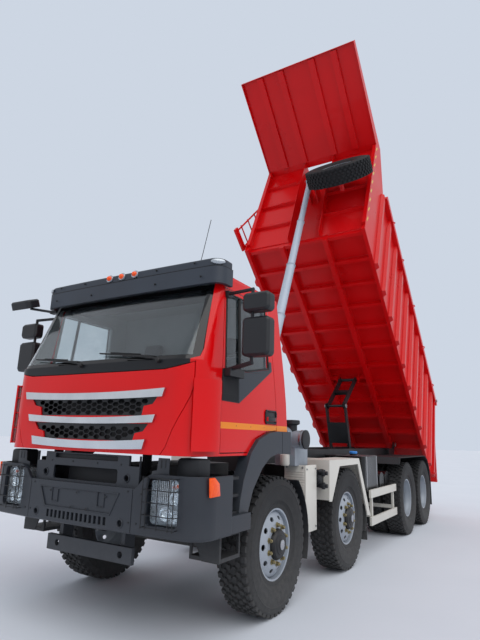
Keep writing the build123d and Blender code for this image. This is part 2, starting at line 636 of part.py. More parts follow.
with BuildPart() as bed_front_wall:
    set_back = [(wall_u(v) - wall_set, v) for v in (163, 2230)]
    panel = set_back + [(u + sheet, v) for u, v in reversed(set_back)]
    for side in (1, -1):
        bed_plate(panel, sorted((side * trough_half, side * inner)))
        bed_plate(
            [(wall_u(162) - wall_set, 163), (wall_u(163) - 20, 163), (wall_u(1380) + 40, 1380),
             (wall_u(2230), 2230), (wall_u(2230) - wall_set, 2230)],
            sorted((side * trough_half, side * (trough_half + sheet))),
        )
        bed_slab(sorted((side * (inner - 60), side * inner)), (bed_length - 60, bed_length), (0, 164))
        bed_plate(
            [(wall_u(163) - wall_set, 163), (wall_u(163), 163), (wall_u(front_top), front_top),
             (wall_u(front_top) - wall_set, front_top)],
            sorted((side * (inner - 60), side * inner)),
        )
        for v in (620, 1180, 1740):
            across = sorted((side * (trough_half + sheet), side * (inner - 60)))
            bed_slab(across, (wall_u(v) - wall_set + 4, wall_u(v) - 50), (v, v + 60))
    deep = 110
    back = [(wall_u(v) - wall_set - deep, v) for v in (163, 2230)]
    bed_plate(back + [(u + sheet, v) for u, v in reversed(back)], (-trough_half, trough_half))
    for side in (1, -1):
        bed_plate(
            [(wall_u(163) - wall_set - deep, 163), (wall_u(163) - wall_set, 163),
             (wall_u(2230) - wall_set, 2230), (wall_u(2230) - wall_set - deep, 2230)],
            sorted((side * trough_half, side * (trough_half + sheet))),
        )
    for side in (1, -1):
        bed_plate(
            [(hoist_eye[0] - 420, hoist_eye[1] - 100), (hoist_eye[0] + 60, hoist_eye[1] - 56),
             (hoist_eye[0] + 70, hoist_eye[1] + 58), (hoist_eye[0] - 360, hoist_eye[1] + 160)],
            sorted((side * 60, side * 85)),
        )
    hub = on_bed(*spare_place)
    bar(hub - spare_axis * 330, hub - spare_axis * 122, 45)
    with Locations(Plane(origin=hub - spare_axis * 130, x_dir=(1, 0, 0), z_dir=spare_axis).location):
        Box(460, 90, 16)
finish("bed_front_wall", bed_front_wall)

with BuildPart() as bed_canopy:
    bed_plate(
        [(wall_u(2230) - wall_set, 2231), (wall_u(2230), 2231), (canopy_tip[0], 2400), (canopy_tip[0], 2412),
         (wall_u(2230) - wall_set, 2243)],
        (-inner, inner),
    )
    for x in (-760, -320, 320, 760):
        bed_plate(
            [(wall_u(2230) + 10, 2180), (canopy_tip[0] - 30, 2345), (canopy_tip[0] - 30, 2401),
             (wall_u(2230) + 10, 2233)],
            (x - 60, x + 60),
        )
    bed_slab((-inner, inner), (canopy_tip[0] - 12, canopy_tip[0]), (2335, 2412))
finish("bed_canopy", bed_canopy)

# Ladder on the right front corner of the bed
with BuildPart() as ladder:
    for u in (6080, 6440):
        rod(on_bed(-1215, u + 60, 1550), on_bed(-1420, u, 480), 18)
    for step in range(4):
        t = step / 3
        x = -1250 - 140 * t
        v = 1400 - 770 * t
        rod(on_bed(x, 6060 + 60 * (1 - t), v), on_bed(x, 6480 + 20 * (1 - t), v), 14)
    bed_slab((-1445, -1400), (6030, 6500), (380, 500))
    bed_slab((-1410, -1166), (6060, 6100), (470, 500))
    bed_slab((-1240, -1166), (6090, 6160), (1510, 1530))
finish("ladder", ladder)

# Tailgate: a ribbed plate that hangs from two pins behind the top of the sides
gate_pin_place = on_bed(0, *gate_pin)
closed_down = -(along * rear_lean + upright).normalized()
gate_angle = atan2(-closed_down.Y, -closed_down.Z) - radians(gate_hang)  # lean from the vertical as it hangs
down = Vector(0, -sin(gate_angle), -cos(gate_angle))
back = Vector(0, cos(gate_angle), -sin(gate_angle))


def gate_slab(x, depth, drop):
    """A block on the tailgate, by its depth behind the pins and its drop below them."""
    middle = gate_pin_place + back * (sum(depth) / 2) + down * (sum(drop) / 2) + Vector(sum(x) / 2, 0, 0)
    with Locations(Plane(origin=middle, x_dir=(1, 0, 0), z_dir=back).location):
        Box(x[1] - x[0], drop[1] - drop[0], depth[1] - depth[0])


with BuildPart() as tailgate:
    gate_slab((-bed_half, bed_half), (-11, -1), (5, gate_length))
    for x in (-1140, -700, -235, 235, 700, 1140):
        gate_slab((x - 25, x + 25), (-1, 60), (5, gate_length))
    for drop in (36, 430, 900, 1370, gate_length - 60):
        gate_slab((-bed_half, bed_half), (-1, 75), (drop, drop + 60))
    for side in (1, -1):
        gate_slab(sorted((side * (bed_half - 40), side * 1256)), (-1, 60), (36, 110))
        gate_slab(sorted((side * 1241, side * 1256)), (-30, 60), (-30, 110))
    bar(gate_pin_place - Vector(1290, 0, 0), gate_pin_place + Vector(1290, 0, 0), 22.4, mode=Mode.SUBTRACT)
finish("tailgate", tailgate)


# Cab. One outer form gives the shell, the doors, the front panel and the glass, so that they run on from each
# other: a ruled loft between level sections, each with a bowed front and two rounded front corners.
cab_sections = (  # height, half width, y of the front's middle, y of the rear wall, front corners' radius
    (1412, 1140, -1392, 258, 245),
    (1915, 1140, -1392, 205, 245),
    (2160, 1130, -1390, 179, 240),
    (3010, 1072, -975, 90, 90),
)
front_bow = 30
sill_z = 1440
firewall_y = -1245


def cab_form(inset):
    """The cab's outer form, shrunk by a wall's thickness."""
    with BuildPart() as form:
        for z, half, front, rear, radius in cab_sections:
            if z == cab_sections[0][0]:
                z += inset
            if z == cab_sections[-1][0]:
                z -= inset
            with BuildSketch(Plane.XY.offset(z)) as section:
                with BuildLine():
                    wide, nose, back = half - inset, front_axle_y + front + inset, front_axle_y + rear - inset
                    Polyline((wide, nose + front_bow), (wide, back), (-wide, back), (-wide, nose + front_bow))
                    ThreePointArc((-wide, nose + front_bow), (0, nose), (wide, nose + front_bow))
                make_face()
                fillet(section.vertices().sort_by(Axis.Y)[:2], radius - inset)
        loft(ruled=True)
    return form.part


def outline_prism(points, side, grow=0):
    """A block through one side of the cab with the given side view, grown all round."""
    with BuildPart() as prism:
        with BuildSketch(Plane(origin=at(side * 900, 0, 0), x_dir=(0, side, 0), z_dir=(side, 0, 0))):
            Polygon(*[(y * side, z) for y, z in points], align=None)
            if grow:
                offset(amount=grow, kind=Kind.INTERSECTION)
        extrude(amount=400)
    return prism.part


def front_prism(points, grow=0, back=850):
    """A block through the cab's front with the given front view, grown all round."""
    with BuildPart() as prism:
        with BuildSketch(Plane(origin=at(0, -back, 0), x_dir=(1, 0, 0), z_dir=(0, -1, 0))):
            Polygon(*points, align=None)
            if grow:
                offset(amount=grow, kind=Kind.INTERSECTION)
        extrude(amount=650)
    return prism.part


fin_radii = (284, 298)
corner_centre = (895, -1117)


def corner_sector(side, radii, z, angles):
    """A piece of a ring about the centre of a front corner's curve; its angles run back from straight out."""
    x, y = side * corner_centre[0], front_axle_y + corner_centre[1]
    turn, sweep = (angles[0], angles[1] - angles[0]) if side > 0 else (180 - angles[1], angles[1] - angles[0])
    with BuildSketch(Plane.XY.offset(z[0]), mode=Mode.PRIVATE) as ring:
        with BuildLine():
            outer = CenterArc((x, y), radii[1], turn, sweep)
            inner = CenterArc((x, y), radii[0], turn, sweep)
            Line(outer @ 0, inner @ 0)
            Line(outer @ 1, inner @ 1)
        make_face()
    extrude(ring.sketch, amount=z[1] - z[0])


def mirrored(points):
    """A front view outline whose left half is given from the bottom up."""
    return [*points, *[(-x, z) for x, z in reversed(points)]]


door_outline = [(-1005, sill_z), (-1012, 1920), (-925, 2853), (-140, 2853), (-60, 2200), (-6, 1640),
                (-225, 1622), (-430, 1560), (-570, sill_z)]
door_gap = 8
window_outline = [(-952, 2130), (-903, 2815), (-195, 2815), (-172, 2225), (-600, 2150)]
arch_outline = [(245, 1413), (245, 1630), (-50, 1630), (-220, 1612), (-420, 1550), (-560, 1432), (-680, 1210),
                (-730, 1050), (-760, 860), (-630, 860), (-600, 950), (-520, 1120), (-350, 1300), (-200, 1390),
                (-50, 1420)]
hatch_outline = mirrored([(820, 1412), (871, 1476), (925, 1605), (1009, 1773), (1050, 1872), (1066, 1948),
                          (1062, 2140), (1020, 2120), (942, 2098), (822, 2080), (400, 2076)])
windscreen_outline = mirrored([(1035, 2166), (1083, 2190), (1088, 2260), (1022, 2890)])
grille_outlines = (
    mirrored([(618, 1712), (636, 1790), (725, 1805), (771, 1862)]),
    mirrored([(540, 1510), (560, 1573), (645, 1590), (695, 1650)]),
)
bar_table = (  # half length, lowest and highest z at its middle; its ends sweep up and are cut off sloping
    (856, 1846, 1904),
    (775, 1644, 1696),
    (688, 1437, 1502),
)

outer_form = cab_form(0)
inner_form = cab_form(cab_wall)

with BuildPart() as cab_shell:
    add(outer_form)
    fillet(cab_shell.edges().group_by(Axis.Z)[-1], 50)
    add(inner_form, mode=Mode.SUBTRACT)
    for side in (1, -1):
        add(outline_prism(door_outline, side, door_gap), mode=Mode.SUBTRACT)
    add(front_prism(windscreen_outline), mode=Mode.SUBTRACT)
    add(front_prism(hatch_outline, 6, -firewall_y), mode=Mode.SUBTRACT)
    # Bulkhead behind the front panel, and the two arms that carry the cab on its tilting pins
    slab((-1092, 1092), (firewall_y, firewall_y + 12), (1458, 2150))
    for side in (1, -1):
        over_arch = [(300, 1290)] + arch_outline[1:7] + [(-750, 1290)]
        side_plate(over_arch, sorted((side * 1042, side * 1200)), Mode.SUBTRACT)
        side_plate(
            [(-1334, 1214), (-1310, 1191), (-1280, 1200), (-1150, 1290), (-1150, 1456), (-1235, 1456),
             (-1235, 1310), (-1325, 1250)],
            sorted((side * 530, side * 560)),
        )
        bar(at(side * 529, *cab_hinge), at(side * 590, *cab_hinge), 24.4, mode=Mode.SUBTRACT)
    # Air deflectors: a curved fin stands off each front corner on five ribs
    for side in (1, -1):
        corner_sector(side, fin_radii, (1450, 2010), (-48, 5))
        for z in (1450, 1590, 1735, 1880, 1998):
            corner_sector(side, (238, fin_radii[0] + 4), (z, z + 12), (-43, 3))
finish("cab_shell", cab_shell)

with BuildPart() as windscreen:
    add(front_prism(windscreen_outline, -1))
    add(cab_form(10), mode=Mode.INTERSECT)
    add(cab_form(17), mode=Mode.SUBTRACT)
finish("windscreen", windscreen)

door_inner = cab_form(door_wall)
for hand, side in (("left", 1), ("right", -1)):
    with BuildPart() as door:
        add(outline_prism(door_outline, side))
        add(outer_form, mode=Mode.INTERSECT)
        add(door_inner, mode=Mode.SUBTRACT)
        add(outline_prism(window_outline, side), mode=Mode.SUBTRACT)
        slab(sorted((side * 880, side * (cab_half - door_wall))), (-1020, 0), (sill_z - 1, sill_z + 40), Mode.SUBTRACT)
        slab(sorted((side * 1139, side * 1158)), (-228, -45), (1722, 1760))
        for y in (-228, -69):
            slab(sorted((side * 1130, side * 1146)), (y, y + 24), (1722, 1760))
    finish(f"door_{hand}", door)
    with BuildPart() as pane:
        add(outline_prism(window_outline, side, -1))
        add(cab_form(20), mode=Mode.INTERSECT)
        add(cab_form(26), mode=Mode.SUBTRACT)
    finish(f"door_glass_{hand}", pane)

# Mirrors: two housings one above the other on tube arms, whose bases are trimmed to the door's side
housings = ((2205, 2530), (2580, 2740))
housing_x = (1330, 1585)
housing_y = (-1045, -945)
for hand, side in (("left", 1), ("right", -1)):
    with BuildPart() as mirror:
        for low, high in housings:
            middle = at(side * sum(housing_x) / 2, housing_y[1], (low + high) / 2)
            with BuildSketch(Plane(origin=middle, x_dir=(1, 0, 0), z_dir=(0, -1, 0))):
                RectangleRounded(housing_x[1] - housing_x[0], high - low, 38)
            extrude(amount=housing_y[1] - housing_y[0])
        chamfer(mirror.faces().group_by(Axis.Y)[0].edges(), 20)
        for low, high in ((2150, 2206), (2529, 2581), (2739, 2790)):
            rod(at(side * 1400, -985, low), at(side * 1400, -985, high), 15)
        rod(at(side * 1407, -985, 2783), at(side * 1095, -905, 2797), 16)
        slab(sorted((side * 1070, side * 1122)), (-928, -868), (2765, 2825))
        rod(at(side * 1410, -985, 2160), at(side * 1150, -950, 2115), 19)
        slab(sorted((side * 1120, side * 1205)), (-990, -760), (2060, 2125))
        add(outer_form, mode=Mode.SUBTRACT)
    finish(f"mirror_{hand}", mirror)

# Kerb mirror: a tilted housing on an arm from the right front pillar
kerb_place = (-1390, -1150, 2880)
with BuildPart() as kerb_mirror:
    with BuildSketch(Plane(origin=at(*kerb_place), x_dir=(1, 0, 0.25), z_dir=(0, -0.35, 0.94))) as face:
        RectangleRounded(290, 180, 50)
    extrude(amount=90)
    chamfer(kerb_mirror.faces().sort_by(Axis.Z)[-1].edges(), 16)
    rod(at(-1340, -1130, 2880), at(-1060, -1020, 2832), 14)
    slab((-1120, -1020), (-1045, -990), (2818, 2848))
    add(outer_form, mode=Mode.SUBTRACT)
finish("kerb_mirror", kerb_mirror)

# Front panel: one pressing from door pillar to door pillar, which lifts on hinges under the windscreen
with BuildPart() as front_panel:
    add(outer_form)
    add(cab_form(28), mode=Mode.SUBTRACT)
    add(front_prism(hatch_outline, 0, 1246), mode=Mode.INTERSECT)
    slab((-1100, 1100), (-1362, -1240), (1400, 1445), mode=Mode.SUBTRACT)
    for outline in grille_outlines:
        add(front_prism(outline), mode=Mode.SUBTRACT)
finish("front_panel", front_panel)

# Grille: two honeycomb inserts in the panel's openings, of long cells in columns set off by half a cell
cell_points = ((-37, 0), (-20, -19), (20, -19), (37, 0), (20, 19), (-20, 19))
cell_pitch = (63.3, 45)


def half_at(outline, z):
    """Half the width of a mirrored front view outline at a height."""
    left = outline[:len(outline) // 2]
    for (x, low), (wider_x, high) in zip(left, left[1:]):
        if low <= z <= high:
            return x + (wider_x - x) * (z - low) / (high - low)
    return 0


inserts = []
for outline in grille_outlines:
    low, high = outline[0][1], outline[len(outline) // 2 - 1][1]
    with BuildPart() as insert:
        add(front_prism(outline, -0.2))
        add(cab_form(12), mode=Mode.INTERSECT)
        add(cab_form(20), mode=Mode.SUBTRACT)
        with BuildSketch(front_view):
            for column in range(-10, 11):
                x = column * cell_pitch[0]
                for row in range(3):
                    z = low + 27 + row * cell_pitch[1] + (column % 2) * cell_pitch[1] / 2
                    room = min(half_at(outline, z - 19), half_at(outline, z + 19))
                    if z + 24 < high and abs(x) + 42 < room:
                        with Locations((x, z)):
                            Polygon(*cell_points, align=None)
        extrude(amount=1500, mode=Mode.SUBTRACT)
    inserts.append(insert.part)

with BuildPart() as grille:
    for piece in inserts:
        add(piece)
finish("grille", grille)

# Chrome bars: three bows across the panel, whose ends sweep up
bar_depth = 26
bar_rise = 26
with BuildPart() as chrome_bars:
    band = cab_form(-bar_depth)
    with BuildSketch(Plane(origin=at(0, -1200, 0), x_dir=(1, 0, 0), z_dir=(0, -1, 0))):
        for half, low, high in bar_table:
            with BuildLine():
                ThreePointArc((-half, high + bar_rise), (0, high), (half, high + bar_rise))
                Line((half, high + bar_rise), (half - 22, low + bar_rise - 10))
                ThreePointArc((half - 22, low + bar_rise - 10), (0, low), (22 - half, low + bar_rise - 10))
                Line((22 - half, low + bar_rise - 10), (-half, high + bar_rise))
            make_face()
    extrude(amount=300)
    add(band, mode=Mode.INTERSECT)
    add(outer_form, mode=Mode.SUBTRACT)
finish("chrome_bars", chrome_bars)

# Sun visor: a moulded band in two tiers round the top of the windscreen, on four blocks on the roof
visor_z = (2863, 3020, 3096)
visor_back = -890
with BuildPart() as sun_visor:
    tiers = ((visor_z[0], visor_z[1], 1136, -1108), (visor_z[1], visor_z[2], 1124, -1100))
    for low, high, half, nose in tiers:
        with BuildSketch(Plane.XY.offset(low)) as outline:
            with BuildLine():
                front, back = front_axle_y + nose, front_axle_y + visor_back
                Polyline((half, front + 20), (half, back), (-half, back), (-half, front + 20))
                ThreePointArc((-half, front + 20), (0, front), (half, front + 20))
            make_face()
            fillet(outline.vertices().sort_by(Axis.Y)[:2], 110)
        extrude(amount=high - low)
    fillet(sun_visor.faces().sort_by(Axis.Z)[-1].edges().sort_by(Axis.Y)[:5], 22)
    with BuildSketch(Plane.XY.offset(visor_z[0] - 1)) as outline:
        with BuildLine():
            half, front, back = 1100, front_axle_y - 1076, front_axle_y + visor_back + 1
            Polyline((half, front + 20), (half, back), (-half, back), (-half, front + 20))
            ThreePointArc((-half, front + 20), (0, front), (half, front + 20))
        make_face()
        fillet(outline.vertices().sort_by(Axis.Y)[:2], 90)
    extrude(amount=visor_z[2] - visor_z[0] - 23, mode=Mode.SUBTRACT)
    for x in (-850, -300, 300, 850):
        slab((x - 25, x + 25), (-945, visor_back), (3010, visor_z[2] - 10))
finish("sun_visor", sun_visor)

with BuildPart() as cab_arches:
    for side in (1, -1):
        side_plate(arch_outline, sorted((side * 1062, side * 1178)))
        slab(sorted((side * 1150, side * 1180)), (48, 56), (1420, 1632), mode=Mode.SUBTRACT)
finish("cab_arches", cab_arches)

# Cab interior: two seats, a bowed dashboard and the steering wheel on its column
with BuildPart() as cab_interior:
    for side in (1, -1):
        slab((side * 520 - 250, side * 520 + 250), (-620, -120), (1660, 1800))
        side_plate([(-180, 1780), (-60, 1780), (40, 2400), (-60, 2400)], (side * 520 - 240, side * 520 + 240))
        side_plate([(-40, 2430), (40, 2430), (70, 2620), (-10, 2620)], (side * 520 - 130, side * 520 + 130))
        rod(at(side * 520, -5, 2390), at(side * 520, 10, 2440), 20)
        slab((side * 520 - 200, side * 520 + 200), (-560, -200), (1457, 1661))
    side_plate(
        [(-1228, 1458), (-1228, 2120), (-1110, 2130), (-900, 2080), (-850, 1960), (-930, 1760), (-1040, 1458)],
        (-1045, 1045),
    )
    column = (at(520, -930, 1900), at(520, -800, 2130))
    rod(*column, 32)
    wheel = Plane(origin=column[1], x_dir=(1, 0, 0), z_dir=column[1] - column[0])
    with BuildSketch(wheel):
        RegularPolygon(230, 20)
        RegularPolygon(200, 20, mode=Mode.SUBTRACT)
        Rectangle(420, 40)
        with Locations((0, -100)):
            Rectangle(40, 200)
    extrude(amount=12, both=True)
finish("cab_interior", cab_interior)
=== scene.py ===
# A four-axle dump truck with its bed raised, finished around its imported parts.
import math

import bpy
from mathutils import Matrix, Vector


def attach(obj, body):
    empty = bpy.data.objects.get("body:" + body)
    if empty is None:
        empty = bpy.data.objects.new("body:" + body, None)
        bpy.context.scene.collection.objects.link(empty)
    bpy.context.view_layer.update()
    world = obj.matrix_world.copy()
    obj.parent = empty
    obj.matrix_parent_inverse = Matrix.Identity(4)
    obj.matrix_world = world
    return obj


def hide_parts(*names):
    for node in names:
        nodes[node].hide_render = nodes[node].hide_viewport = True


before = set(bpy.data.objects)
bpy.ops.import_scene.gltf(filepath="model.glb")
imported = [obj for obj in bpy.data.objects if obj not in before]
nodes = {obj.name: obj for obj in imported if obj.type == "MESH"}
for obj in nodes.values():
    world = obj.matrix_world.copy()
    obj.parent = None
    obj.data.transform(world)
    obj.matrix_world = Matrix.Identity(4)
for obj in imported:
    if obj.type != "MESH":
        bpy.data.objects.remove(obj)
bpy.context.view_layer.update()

# Studio: a wide pale floor of cast concrete under an even sky, with one large soft lamp high on the truck's left.
# The camera stands low off the front left corner and looks up, as the photograph does.
floor_tone = "D9DEE6"
sky_tone = "CDD6E3"
camera_place = (3.370, -7.910, 1.567)
camera_turn, camera_rise, camera_roll = 31.292, 13.414, 1.668
lens_mm = 27.6
sky_light = 0.72
lamp_strength, lamp_tilt, lamp_round, lamp_spread = 1.35, 38, 62, 64
floor_size = 240


def srgb(code):
    """A hex colour as the linear colour that a shader takes."""
    parts = [int(code[i:i + 2], 16) / 255 for i in (0, 2, 4)]
    return [c / 12.92 if c <= 0.04045 else ((c + 0.055) / 1.055) ** 2.4 for c in parts] + [1]


def put(tree, kind, inputs=None, **settings):
    """Adds a node with its settings; each input is a value, or the output that it is linked from."""
    node = tree.nodes.new(kind)
    for name, value in settings.items():
        setattr(node, name, value)
    for key, value in (inputs or {}).items():
        if isinstance(value, bpy.types.NodeSocket):
            tree.links.new(value, node.inputs[key])
        else:
            node.inputs[key].default_value = value
    return node


def turn(angle, axis):
    """A turn about an axis of the frame, in degrees."""
    return Matrix.Rotation(math.radians(angle), 4, axis)


def only(*pieces):
    """Selects these pieces alone, the last one active."""
    bpy.ops.object.select_all(action="DESELECT")
    for piece in pieces:
        piece.select_set(True)
    bpy.context.view_layer.objects.active = pieces[-1]


scene = bpy.context.scene
scene.view_settings.view_transform = "Standard"

world = bpy.data.worlds.new("even_sky")
world.use_nodes = True
scene.world = world
tree = world.node_tree
rays = put(tree, "ShaderNodeLightPath").outputs
seen = put(tree, "ShaderNodeMath", {0: rays["Is Camera Ray"], 1: rays["Is Transmission Ray"]}, operation="MAXIMUM")
backdrop = put(tree, "ShaderNodeBackground", {"Color": srgb(sky_tone), "Strength": 1.0})
light = put(tree, "ShaderNodeBackground", {"Color": srgb("F4F7FF"), "Strength": sky_light})
both = put(tree, "ShaderNodeMixShader", {0: seen.outputs[0], 1: light.outputs[0], 2: backdrop.outputs[0]})
tree.links.new(both.outputs[0], tree.nodes["World Output"].inputs["Surface"])

bpy.ops.object.select_all(action="DESELECT")
bpy.ops.object.light_add(type="SUN", rotation=(math.radians(lamp_tilt), 0, math.radians(lamp_round)))
lamp = bpy.context.object
lamp.data.energy = lamp_strength
lamp.data.angle = math.radians(lamp_spread)
lamp.data.color = (1.0, 0.985, 0.96)

bpy.ops.object.select_all(action="DESELECT")
bpy.ops.mesh.primitive_plane_add(size=floor_size)
floor = bpy.context.object
floor.name = "floor"
# Concrete, cast and floated smooth: pale grey, matt, and a little darker in wide soft clouds
concrete = bpy.data.materials.new("cast_concrete")
concrete.use_nodes = True
tree = concrete.node_tree
place = put(tree, "ShaderNodeTexCoord").outputs["Object"]
cloud = put(tree, "ShaderNodeTexNoise", {"Vector": place, "Scale": 0.6, "Detail": 5.0})
tone = put(tree, "ShaderNodeMix", {0: cloud.outputs["Fac"], 6: srgb("CFD5DE"), 7: srgb(floor_tone)}, data_type="RGBA")
tree.links.new(tone.outputs[2], tree.nodes["Principled BSDF"].inputs["Base Color"])
tree.nodes["Principled BSDF"].inputs["Roughness"].default_value = 0.9
floor.data.materials.append(concrete)

bpy.ops.object.select_all(action="DESELECT")
bpy.ops.object.camera_add()
camera = bpy.context.object
camera.matrix_world = (Matrix.Translation(camera_place) @ turn(camera_turn, "Z")
                       @ turn(90 + camera_rise, "X") @ turn(camera_roll, "Z"))
camera.data.lens = lens_mm
camera.data.clip_end = 2 * floor_size
scene.camera = camera

# Chassis: channel rails, cross members, springs and axles of rolled and forged steel, sprayed with satin black
# chassis paint. Road dust settles on it from the wheels upwards.
front_axle = -3486
axle_y = (0, 2010, 5020, 6400)


def at(x, y, z):
    """A place in millimetres from the centreline, the front axle and the ground, as the frame has it."""
    return Vector((x, y + front_axle, z)) / 1000


def surface(name, tones, rough, patch_mm=500, grain_mm=4, grain=0.08, edge_mm=0, dust=0, dust_top=900, sockets=None):
    """A finish that drifts between two tones and two roughnesses in patches, over a fine relief. Its edges are
    eased by edge_mm, and dust lies on it more thickly towards the ground."""
    material = bpy.data.materials.new(name)
    material.use_nodes = True
    tree = material.node_tree
    shader = tree.nodes["Principled BSDF"]
    for socket, value in (sockets or {}).items():
        shader.inputs[socket].default_value = value
    place = put(tree, "ShaderNodeTexCoord").outputs["Object"]
    patches = put(tree, "ShaderNodeTexNoise", {"Vector": place, "Scale": 1000 / patch_mm, "Detail": 5.0})
    share = put(tree, "ShaderNodeMapRange", {0: patches.outputs["Fac"], 1: 0.3, 2: 0.7})
    tone = put(tree, "ShaderNodeMix", {0: share.outputs[0], 6: srgb(tones[0]), 7: srgb(tones[1])}, data_type="RGBA")
    gloss = put(tree, "ShaderNodeMapRange", {0: patches.outputs["Fac"], 1: 0.3, 2: 0.7, 3: rough[0], 4: rough[1]})
    colour, roughness = tone.outputs[2], gloss.outputs[0]
    if dust:
        height = put(tree, "ShaderNodeSeparateXYZ", {0: place}).outputs["Z"]
        low = put(tree, "ShaderNodeMapRange", {0: height, 1: dust_top / 1000, 2: 0.0, 3: 0.0, 4: dust * 1.6})
        specks = put(tree, "ShaderNodeTexNoise", {"Vector": place, "Scale": 22.0, "Detail": 6.0, "Roughness": 0.7})
        film = put(tree, "ShaderNodeMath", {0: low.outputs[0], 1: specks.outputs["Fac"]}, operation="MULTIPLY")
        film.use_clamp = True
        dusty = put(tree, "ShaderNodeMix", {0: film.outputs[0], 6: colour, 7: srgb("8D8C8A")}, data_type="RGBA")
        dull = put(tree, "ShaderNodeMix", {0: film.outputs[0], 2: roughness, 3: 0.95})
        colour, roughness = dusty.outputs[2], dull.outputs[0]
    tree.links.new(colour, shader.inputs["Base Color"])
    tree.links.new(roughness, shader.inputs["Roughness"])
    relief = put(tree, "ShaderNodeTexNoise", {"Vector": place, "Scale": 1000 / grain_mm, "Detail": 2.0})
    bump = put(tree, "ShaderNodeBump", {"Height": relief.outputs["Fac"], "Strength": grain, "Distance": 0.002})
    if edge_mm:
        rounding = put(tree, "ShaderNodeBevel", {"Radius": edge_mm / 1000}, samples=4)
        tree.links.new(rounding.outputs[0], bump.inputs["Normal"])
    tree.links.new(bump.outputs[0], shader.inputs["Normal"])
    return material


def dress(material, *names):
    """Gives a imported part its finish."""
    for name in names:
        for slot in nodes[name].material_slots:
            slot.material = material


# Alkyd chassis paint, sprayed in one coat over shot-blasted steel: black with a satin sheen and a soft orange peel
chassis_paint = surface("sprayed_chassis_paint", ("16181B", "1F2226"), (0.38, 0.55), grain_mm=9, grain=0.12,
                        edge_mm=3, dust=0.5)
# Forged and cast steel under the same paint, rough from the scale of the forge and dull with road film
forged_steel = surface("painted_forged_steel", ("191A1C", "26272A"), (0.55, 0.75), grain_mm=14, grain=0.45,
                       edge_mm=4, dust=0.7)
# Cast iron of the engine block: the darkest thing under the cab, with a coarse sand-cast skin
cast_iron = surface("sand_cast_iron", ("2A2B2C", "37383A"), (0.6, 0.8), grain_mm=6, grain=0.5, edge_mm=8, dust=0.3)
dress(chassis_paint, "frame")
dress(forged_steel, "axles", "knuckle_1_left", "knuckle_1_right", "knuckle_2_left", "knuckle_2_right")
dress(cast_iron, "engine")

# Wheels: disc wheels of pressed steel with ten oval vents, welded into rolled rims and sprayed silver. Ten nuts of
# yellow zinc hold each to its hub, and each carries a radial tyre with an open, blocky traction tread.
tyre_radius = 607
groove_radius = 584
wall_x = 159
pitches = 46  # tread pitches round the tyre
single_x = 1021
twin_x = (740, 1094)
smooth_angle = math.radians(35)  # faces that meet at less than this are shaded as one


def drawn(name, points):
    """A new face drawn through points."""
    bpy.ops.object.select_all(action="DESELECT")
    bpy.ops.mesh.primitive_circle_add(vertices=len(points), fill_type="NGON")
    piece = bpy.context.object
    piece.name = name
    for vertex, point in zip(piece.data.vertices, points):
        vertex.co = point
    return piece


def closed(piece, merge=0.0):
    """Merges what lies together and turns a closed shape's faces outwards."""
    only(piece)
    bpy.ops.object.mode_set(mode="EDIT")
    bpy.ops.mesh.select_all(action="SELECT")
    if merge:
        bpy.ops.mesh.remove_doubles(threshold=merge)
    bpy.ops.mesh.normals_make_consistent(inside=False)
    bpy.ops.object.mode_set(mode="OBJECT")
    return piece


def pushed(name, points, way):
    """A solid: an outline's face extruded by a vector."""
    piece = drawn(name, points)
    bpy.ops.object.mode_set(mode="EDIT")
    bpy.ops.mesh.select_all(action="SELECT")
    bpy.ops.mesh.extrude_region_move(TRANSFORM_OT_translate={"value": way})
    bpy.ops.object.mode_set(mode="OBJECT")
    return closed(piece)


def turned(name, section, steps=72):
    """A closed section of (radius, x) points in millimetres, spun about the X axis."""
    piece = drawn(name, [Vector((x, 0, radius)) / 1000 for radius, x in section])
    bpy.ops.object.mode_set(mode="EDIT")
    bpy.ops.mesh.select_all(action="SELECT")
    bpy.ops.mesh.delete(type="ONLY_FACE")
    bpy.ops.mesh.select_all(action="SELECT")
    bpy.ops.mesh.spin(steps=steps, angle=2 * math.pi, center=(0, 0, 0), axis=(1, 0, 0))
    bpy.ops.object.mode_set(mode="OBJECT")
    closed(piece, merge=0.00005)
    only(piece)
    bpy.ops.object.shade_smooth_by_angle(angle=smooth_angle)
    return piece


def eased(piece, width_mm, segments=2, angle=40):
    """Rounds a piece's sharp edges and smooths its shading."""
    only(piece)
    modifier = piece.modifiers.new("ease", "BEVEL")
    modifier.width = width_mm / 1000
    modifier.segments = segments
    modifier.limit_method = "ANGLE"
    modifier.angle_limit = math.radians(angle)
    bpy.ops.object.modifier_apply(modifier="ease")
    bpy.ops.object.shade_smooth_by_angle(angle=smooth_angle)
    return piece


def placed(piece, place):
    """A copy of a piece, with its own mesh, set in a place; a mirrored copy's faces are turned back out."""
    copy = piece.copy()
    copy.data = piece.data.copy()
    copy.data.transform(place)
    if place.determinant() < 0:
        copy.data.flip_normals()
    bpy.context.collection.objects.link(copy)
    return copy


def joined(name, pieces):
    """Pieces as one mesh."""
    only(*pieces)
    if len(pieces) > 1:
        bpy.ops.object.join()
    piece = bpy.context.object
    piece.name = name
    return piece


def spread(piece, places):
    """Copies of a piece in all the places; the piece itself goes."""
    copies = [placed(piece, place) for place in places]
    bpy.data.objects.remove(piece)
    return copies


def repeated(name, piece, places):
    """The copies of a piece in all the places, as one mesh."""
    return joined(name, spread(piece, places))


def fitted(piece, name, body, slot, material, *stands_for):
    """Finishes a piece, or a list of pieces as one, and fixes it to the body that carries it."""
    if isinstance(piece, list):
        piece = joined(name, piece)
    piece.name = name
    piece.data.materials.clear()
    piece.data.materials.append(material)
    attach(piece, body)
    if stands_for:
        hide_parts(*stands_for)


def round_place(radius, count, start=0.0):
    """Places on a circle about the X axis, the first turned by start degrees from straight up."""
    return [turn(start + 360 * step / count, "X") @ Matrix.Translation((0, 0, radius / 1000))
            for step in range(count)]


